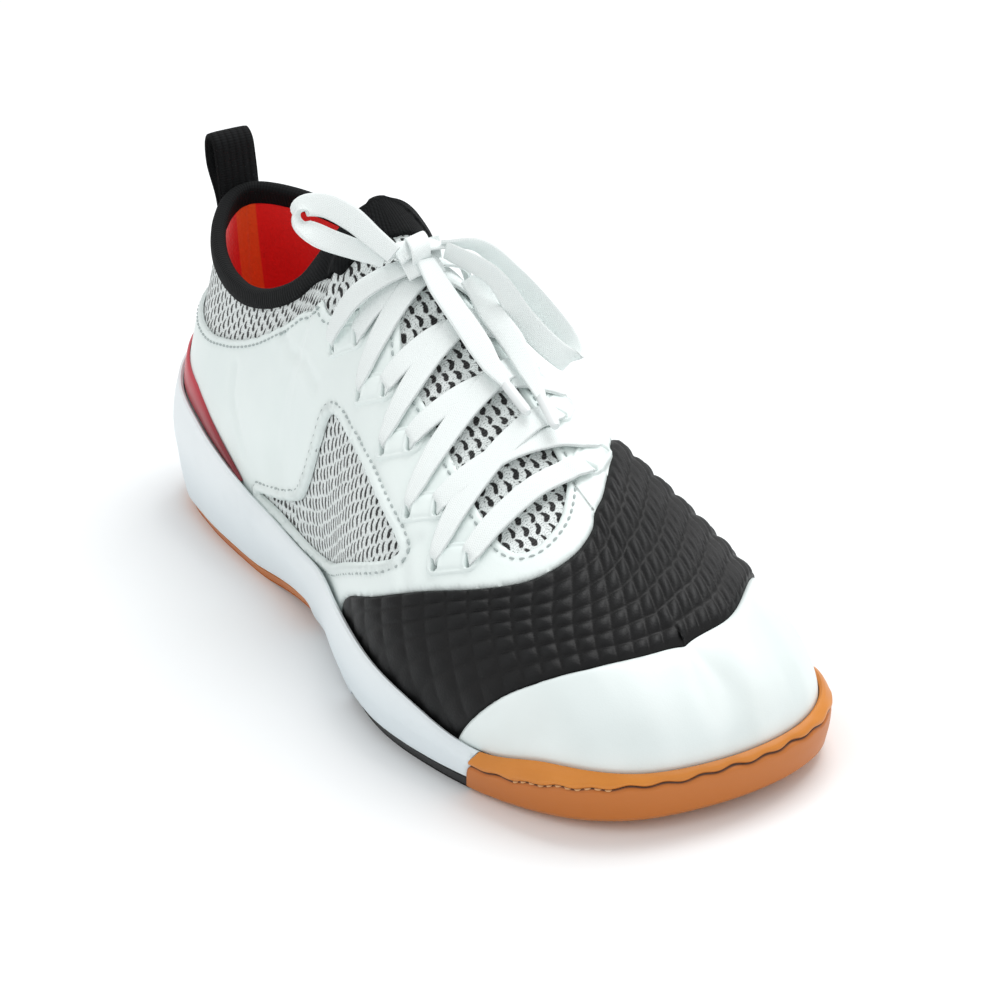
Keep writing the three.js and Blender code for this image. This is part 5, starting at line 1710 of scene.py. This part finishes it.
    def bumper(self) -> bpy.types.Object:
        """Build the gum toe bumper with its stitched groove and return it."""
        last = self.last
        a = np.linspace(-0.34, 0.34, 320)
        sides = self.wall(a, np.linspace(0, 1, BUMPER_ROWS))
        tread = last.tread_low(last.edge(a, TREAD_INSET))
        normal = unit(last.edge(a, -1) - last.edge(a, 0))
        wave = self.groove(a)
        dark = []
        for row in sides[:BUMPER_ROWS]:
            off = row[:, 2] - tread - wave
            fade = smooth(0.27, 0.25, np.abs(a))
            groove, lip = hump(off, 0, 0.5) * fade, hump(off, 1.7, 0.9) * fade
            row += normal * (0.35 * lip - 0.8 * groove)[:, None]
            # The tint paints shade into the groove and gives the wall below it the rubber's lower colour
            dark.append(np.maximum(groove, 0.45 * smooth(0.6, -0.6, off)))
        net = self.tub(a, TREAD_INSET + TREAD_ROUND, tread, sides)
        shape = swept(net)
        tint = np.zeros(net.shape[:2])
        tint[:, 3 : 3 + BUMPER_ROWS] = np.array(dark).T
        shape.tint = tint.ravel()
        look = Rubber("moulded gum rubber", "#c97a22", "#d58428", "#341806", 0.45, "#bd6c22")
        piece = build("gum_bumper", shape, [look.make()], 50)
        cut(piece, (0, HEEL_REST - BUMPER_START - GAP / 2, 0), (0, 1, BUMPER_SLANT))
        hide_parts("outsole_toe")
        return piece

    def footbed(self) -> bpy.types.Object:
        """Build the footbed and return it."""
        last, a = self.last, self.around
        inset = -KNIT - 2 * GAP
        low = last.skin(a, np.zeros(len(a)), inset)
        floor = last.stack(low) + GAP
        low[:, 2] = floor
        high = last.skin(a, np.full(len(a), 0.05), inset)
        high[:, 2] = floor + INSOLE
        mid = last.middle(a, FOOT_INSET - inset)
        mid[:, 2] = last.stack(mid) + GAP
        top = mid + np.array([0, 0, INSOLE])
        rows = [mid, low, high]
        for t in (0.04, 0.2, 0.45, 0.7):
            rows.append(high + (top - high) * t - np.array([0, 0, 0.8 * math.sin(math.pi * t)]))
        piece = build("footbed", swept(np.stack([*rows, top], axis=1), False), [Lining().make()], 50)
        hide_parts("insole")
        return piece


# ---------------------------------------------------------------- lace and stitches


class Exit(Enum):
    """How a lace leaves an eyelet's slot."""

    PINCHED = 2.6
    FLAT = 5.8


@dataclass
class Lacing:
    """Flat lace: strands over the throat, knot, bow, ends and aglets."""

    last: Last
    outer: list
    inner: list
    sheet: bpy.types.Material = field(init=False)
    plastic: bpy.types.Material = field(init=False)
    over: float = FILM_TOP + 1.0

    def __post_init__(self) -> None:
        """Make the finishes."""
        self.sheet = Woven().make()
        self.plastic = Plain("aglet of shrunk acetate film", "#f2f7f7", 0.22, 0.02).make()

    def strap_of(self, points: np.ndarray, ways: np.ndarray, widths: np.ndarray, steps: int) -> Shape:
        """Return a lace through places, with its width lying along the ways."""
        route = Curve(points)
        share = route.even(np.linspace(0, 1, steps + 1))
        width = np.interp(share, np.linspace(0, 1, len(widths)), widths)
        return strap(route, Curve(ways), width, LACE, steps)

    def slot(self, tab: Tab, far: bool) -> tuple:
        """Return an eyelet slot's place, the way out of the skin there and the slot's own way."""
        where = tab.place(far)
        return self.last.spot(*where), self.last.out(*where), tab.side

    def strand(self, start: tuple, end: tuple, over: float) -> Shape:
        """Build one strand over the throat.

        Args:
            start: Its eyelet, whether it leaves the outer slot, and how.
            end: The same at its other end.
            over: How far it stands above the other strand where they cross.

        Returns:
            The strand, which dives into both slots.
        """
        (tab_a, far_a, exit_a), (tab_b, far_b, exit_b) = start, end
        a, b = tab_a.place(far_a), tab_b.place(far_b)
        share = (1 - a[1]) / (2 - a[1] - b[1])
        ridge = abs(a[0]) * (1 - share) + abs(b[0]) * share
        stops = []
        lifts = [self.over + more for more in (0.35, 0.3, 0.5)]
        for around, up in (a, b):
            goal = math.copysign(ridge, around)
            stops.append([(around + (goal - around) * t, up + (1 - up) * t) for t in (0.13, 0.35, 0.7)])
        stops = [*stops[0], (ridge, 1.0), *stops[1][::-1]]
        lifts = [*lifts, self.over + 0.6 + over, *lifts[::-1]]
        spots = np.array([self.last.spot(*stop, lift) for stop, lift in zip(stops, lifts)])
        outs = np.array([self.last.out(*stop) for stop in stops])
        way = np.gradient(spots, axis=0)
        across = unit(np.cross(way, outs))
        ends = []
        for tab, far, line in ((tab_a, far_a, across[0]), (tab_b, far_b, across[-1])):
            at, out, side = self.slot(tab, far)
            side = side if side @ line > 0 else -side
            dive = [(at - out * SLOT_DEPTH, side), (at + out * 0.8, side)]
            ends.append([*dive, (at + out * (self.over - 0.2), unit(side + 0.7 * line))])
        first, final = ends[0], ends[1][::-1]
        points = np.array([p for p, _ in first] + list(spots) + [p for p, _ in final])
        ways = np.array([w for _, w in first] + list(across) + [w for _, w in final])
        mid = [LACE_WIDTH] * (len(spots) - 2)
        narrow = lambda e: [e.value * 0.9, e.value * 0.95, e.value, (e.value + 2 * LACE_WIDTH) / 3]
        return self.strap_of(points, ways, np.array(narrow(exit_a) + mid + narrow(exit_b)[::-1]), 72)

    def strands(self) -> bpy.types.Object:
        """Build the crossing strands and return them as one piece."""
        made = [self.strand((self.outer[-1], False, Exit.FLAT), (self.inner[-1], False, Exit.FLAT), -0.4)]
        for k in range(1, len(self.outer)):
            for low, high, over in ((self.outer, self.inner, 0.95), (self.inner, self.outer, -0.35)):
                made.append(self.strand((low[k], True, Exit.PINCHED), (high[k - 1], False, Exit.FLAT), over))
        for tabs, hand in ((self.outer, -1), (self.inner, 1)):
            made.append(self.riser(tabs[0], KNOT_AT + np.array([3.0 * hand, -1.5, -3.4]), hand))
        piece = build("lace_strands", joined(made), [self.sheet], 60)
        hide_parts("lace_crossings")
        return piece

    def riser(self, tab: Tab, goal: np.ndarray, hand: int) -> Shape:
        """Build the strand from a top eyelet's outer slot to the knot.

        Args:
            tab: The eyelet.
            goal: Where it enters the knot.
            hand: 1 on the inner side, −1 on the outer.

        Returns:
            The strand.
        """
        at, out, side = self.slot(tab, True)
        first = at + out * (self.over + 0.5)
        span = goal - first
        crown = np.array([hand * 2.5, 0, 2.0])
        spots = [at - out * SLOT_DEPTH, at + out * 0.8, first]
        spots += [first + span * t + crown * math.sin(math.pi * t) * 1.6 for t in (0.25, 0.5, 0.75)] + [goal]
        spots = np.array(spots)
        way = np.gradient(spots, axis=0)
        turned = [out + [0, 0, 0.2], out + [0, -0.3, 0.6], [hand * 0.4, -0.5, 1], [0, -0.6, 1]]
        outs = np.array([out, out, out, *turned])
        across = unit(np.cross(way, outs))
        line = side if side @ across[2] > 0 else -side
        across[:2] = line
        widths = np.array([2.4, 2.6, 3.4, 6.6, 7.0, 6.6, 5.5])
        return self.strap_of(spots, across, widths, 48)

    def knot(self) -> bpy.types.Object:
        """Build the knot: a wrap round two strands, over the half knot below, and return it."""
        turn = np.linspace(0, 2 * math.pi, 26)
        across = np.cos(turn)
        wrap = KNOT_AT + np.stack([0.4 + 0.9 * across, 4.7 * across * 0.96, 3.5 * np.sin(turn)], axis=1)
        flat = np.stack([1 + 0.001 * turn, 0.22 + 0 * turn, 0.1 + 0 * turn], axis=1)
        made = [self.strap_of(wrap, flat, np.full(26, 6.4), 96)]
        t = np.linspace(-1, 1, 9)
        for lift, lead in ((1.4, -1.6), (-1.2, 1.8)):
            y, z = lead * np.cos(t * 1.4) - 2.4 * t * t * 0.6, lift * np.cos(t * 1.3) + 0.2
            run = KNOT_AT + np.stack([7.0 * t, y, z], axis=1)
            way = np.stack([0.1 * t, 1 + 0 * t, 0.5 + 0.8 * t * lead * 0.4], axis=1)
            made.append(self.strap_of(run, way, 5.0 + 1.8 * np.abs(t), 40))
        under = KNOT_AT + np.stack([5.4 * t, -3.4 - 1.5 * np.cos(t * 1.5), -2.6 - 1.6 * t * t], axis=1)
        way = np.stack([0 * t, 1 + 0.1 * t, 0.9 - 0.2 * t], axis=1)
        made.append(self.strap_of(under, way, np.full(9, 6.2), 40))
        piece = build("lace_tie", joined(made), [self.sheet], 60)
        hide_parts("lace_knot")
        return piece

    def bow(self, name: str, node: str, points: list, ways: list) -> bpy.types.Object:
        """Build one loop of the bow and return it."""
        route = np.array(points, float)
        pinched = [BOW_PINCH, LACE_WIDTH * 0.86]
        widths = np.array([*pinched, *[LACE_WIDTH] * (len(points) - 4), *pinched[::-1]])
        shape = self.strap_of(route, np.array(ways, float), widths, 150)
        return self.declared(build(name, shape, [self.sheet], 60), node, route, "knot", [])

    def end(self, name: str, node: str, points: list, ways: list) -> bpy.types.Object:
        """Build one end of the lace with its aglet and return it."""
        route = np.array(points, float)
        widths = np.array([5.6] + [LACE_WIDTH] * (len(points) - 3) + [5.6, 2.9])
        shape = self.strap_of(route, np.array(ways, float), widths, 90)
        piece = build(name, shape, [self.sheet], 60)
        way = unit(route[-1] - route[-2])
        start = route[-1] - way * 0.4
        t = np.linspace(0, 1, 13)
        tip = start + way * (AGLET_LENGTH + 0.7) * t[:, None]
        size = np.concatenate([[2.2, 3.1], np.full(9, 3.15), [2.9, 2.0]])
        across = np.tile(unit(np.array(ways[-1], float)), (13, 1)) + 0.001 * t[:, None]
        width = np.interp(np.linspace(0, 1, 25), t, size)
        hard = strap(Curve(tip), Curve(across), width, AGLET, 24, circle(STRAP_SIDES))
        cap = build(name + "_aglet", hard, [self.plastic], 60)
        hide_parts(node.replace("lace_end", "aglet"))
        return self.declared(piece, node, route, "fitting", [cap])

    @staticmethod
    def declared(
        piece: bpy.types.Object, node: str, route: np.ndarray, far_end: str, on_it: list
    ) -> bpy.types.Object:
        """Hide the solid that a piece stands for and return the piece."""
        curve = Curve(route)
        path = curve.at(curve.even(np.linspace(0, 1, 60))) * MM
        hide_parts(node)
        tuple(path[0])
        [tuple(p) for p in path]
        return piece


@dataclass
class Stitching:
    """Thread seams on the film and the bumper."""

    last: Last
    wave: Callable
    pitch: float = 2.7
    stitch: float = 1.9
    thread: float = 0.34

    def dashes(self, spots: np.ndarray, outs: np.ndarray) -> list:
        """Return stitches along a line of places."""
        line = Curve(spots)
        count = int(line.length / self.pitch)
        steps = np.linspace(0, 1, len(spots))
        made = []
        # A stitch is thin at its two ends, where it dives into the film
        size = self.thread * np.array([0.45, 0.95, 1.05, 0.95, 0.45])
        sink = np.array([-0.3, 0, 0.06, 0, -0.3])
        ring = circle(6)[None, :, :, None] * size[:, None, None, None]
        for k in range(count):
            middle = (k + 0.5) * self.pitch
            at = np.linspace(middle - self.stitch / 2, middle + self.stitch / 2, 5) / line.length
            share = line.even(at)
            place, way = line.at(share), line.way(share)
            out = np.stack([np.interp(share, steps, outs[:, i]) for i in range(3)], axis=1)
            side = unit(np.cross(out, way))
            centre = place + out * sink[:, None]
            made.append(swept(centre[:, None] + side[:, None] * ring[:, :, 0] + out[:, None] * ring[:, :, 1]))
        return made

    def along(self, line: np.ndarray, aside: float, lift: float, closed: bool = False) -> list:
        """Return stitches beside a line on the chart."""
        around, up = from_chart(line[::4])
        spots, outs = self.last.skin(around, up), self.last.normal(around, up)
        way = np.gradient(spots, axis=0)
        spots = spots + unit(np.cross(outs, way)) * aside
        spots = spots + outs * (lift + self.wave(spots))[:, None]
        if closed:
            spots, outs = np.vstack([spots, spots[:1]]), np.vstack([outs, outs[:1]])
        return self.dashes(spots, outs)

    def film(self) -> bpy.types.Object:
        """Build the seams of the film and return them as one piece."""
        made = []
        for hand in (1, -1):
            vent = charted([(hand * row[0], row[1]) for row in VENT_LINE], 0.25, True)
            made += self.along(vent, VENT_SEAM * hand, FILM_TOP - 0.2, True)
        opening = charted(OPENING_LINE, 0.25)
        made += self.along(opening[8:-8], -OPENING_SEAM, FILM_TOP - 0.1)
        # The thread's grey is partly its own colour and partly painted shade, darker than the thread, for the
        # shade round the stitches
        thread = Plain("polyester thread", "#b9c4c3", 0.7, 0.2)
        piece = build("film_seams", joined(made), [thread.make()], tidy=False)
        return piece

    def bumper(self, sole: Sole) -> bpy.types.Object:
        """Build the seam of the bumper's groove and return it."""
        a = np.linspace(0.1, 0.19, 90)
        net = np.stack(sole.wall(a, np.linspace(0, 1, BUMPER_ROWS))[:BUMPER_ROWS], axis=1)
        tread = self.last.tread_low(self.last.edge(a, TREAD_INSET))
        wave = sole.groove(a)
        pick = np.abs(net[:, :, 2] - (tread + wave)[:, None]).argmin(axis=1)
        spots = net[np.arange(len(a)), pick]
        outs = unit(self.last.edge(a, -1) - self.last.edge(a, 0))
        kernel = np.ones(7) / 7
        spots[3:-3] = np.stack([np.convolve(spots[:, i], kernel, "valid") for i in range(3)], axis=1)
        made = self.dashes(spots - outs * 0.55, outs)
        thread = Plain("waxed gum thread", "#dba56a", 0.6, 0.2)
        piece = build("bumper_seam", joined(made), [thread.make()], tidy=False)
        return piece


# ---------------------------------------------------------------- studio


@dataclass
class Studio:
    """Camera at the photograph's angle, floor, lights and surroundings."""

    azimuth: float = -25.77
    elevation: float = 24.78
    roll: float = -4.22
    distance: float = 0.8298
    target: tuple = (0.01425, -0.10507, 0.03297)
    lens: float = 104.8

    def camera(self) -> None:
        """Place the camera."""
        az, el, roll = (math.radians(v) for v in (self.azimuth, self.elevation, self.roll))
        back = Vector((math.sin(az) * math.cos(el), -math.cos(az) * math.cos(el), math.sin(el)))
        right = Vector((math.cos(az), math.sin(az), 0))
        up = back.cross(right)
        across = right * math.cos(roll) + up * math.sin(roll)
        above = up * math.cos(roll) - right * math.sin(roll)
        data = bpy.data.cameras.new("view")
        data.lens, data.sensor_width, data.sensor_fit = self.lens, 36.0, "HORIZONTAL"
        data.clip_start, data.clip_end = 0.05, 20.0
        view = bpy.data.objects.new("view", data)
        place = Vector(self.target) + back * self.distance
        rows = [(*row, p) for row, p in zip(zip(across, above, back), place)]
        view.matrix_world = Matrix([*rows, (0, 0, 0, 1)])
        bpy.context.scene.collection.objects.link(view)
        bpy.context.scene.camera = view

    def floor(self) -> None:
        """Lay the floor."""
        bpy.ops.object.select_all(action="DESELECT")
        bpy.ops.mesh.primitive_plane_add(size=6)
        floor = bpy.context.object
        floor.name = "floor"
        floor.data.materials.append(Sheet("studio paper").finish("#f4f6f7", 0.95))

    def lights(self) -> None:
        """Hang the lights and set the surroundings."""
        lamps = [
            ("key", (0.6, 0.15, 1.1), 0.8, 10.0),
            ("side", (-0.95, -0.15, 0.8), 0.8, 1.6),
            ("front", (0.25, -1.25, 0.6), 0.9, 1.6),
        ]
        for name, place, size, power in lamps:
            data = bpy.data.lights.new(name, "AREA")
            data.size, data.energy = size, power
            lamp = bpy.data.objects.new(name, data)
            lamp.location = place
            lamp.rotation_euler = (Vector(place) - Vector(self.target)).to_track_quat("Z", "Y").to_euler()
            bpy.context.scene.collection.objects.link(lamp)
        world = bpy.data.worlds.new("studio")
        bpy.context.scene.world = world
        world.use_nodes = True
        ground = world.node_tree.nodes["Background"]
        ground.inputs["Color"].default_value = (1, 1, 1, 1)
        ground.inputs["Strength"].default_value = 0.72
        bpy.context.scene.view_settings.view_transform = "Standard"


def main() -> None:
    """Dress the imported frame."""
    logging.basicConfig(level=logging.INFO, format="%(name)s: %(message)s")
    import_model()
    studio = Studio()
    studio.camera()
    last = Last()
    outer = [Tab(last, *row) for row in EYELETS]
    inner = [Tab(last, *row) for row in INNER_EYELETS]
    lacing = Lacing(last, outer, inner)
    made = [
        lacing.bow("bow_outer", "lace_loop_outer", OUTER_LOOP, OUTER_WAYS),
        lacing.bow("bow_inner", "lace_loop_inner", INNER_LOOP, INNER_WAYS),
        lacing.end("tail_outer", "lace_end_outer", OUTER_END, OUTER_END_WAYS),
        lacing.end("tail_inner", "lace_end_inner", INNER_END, INNER_END_WAYS),
        lacing.knot(),
        lacing.strands(),
    ]
    ground = Ground(last)
    upper = Upper(last)
    made += [upper.knit(), upper.collar(), upper.loop()]
    overlays = Overlays(last, ground, [*outer, *inner])
    made += [overlays.toe(), overlays.band(), overlays.quarter(), overlays.eyelets(), overlays.strip()]
    sole = Sole(last)
    gum = Rubber("moulded gum rubber heel", "#c06a1c", "#cc7a22", "#70401a", 0.45).make()
    black = Rubber("black moulded rubber", "#0c0d0e", "#141516", "#060606", 0.6).make()
    made += [
        sole.midsole(),
        sole.tread("gum_heel", "outsole_heel", 0.0, HEEL_TREAD_END, gum),
        sole.tread("black_forefoot", "outsole_forefoot", FORE_TREAD_START, BUMPER_START, black),
        sole.bumper(),
        sole.footbed(),
    ]
    seams = Stitching(last, overlays.wave)
    made += [seams.film(), seams.bumper(sole)]
    for piece in made:
        LOG.info("%s: %d faces", piece.name, len(piece.data.polygons))
    studio.floor()
    studio.lights()


if __name__ == "__main__":
    main()
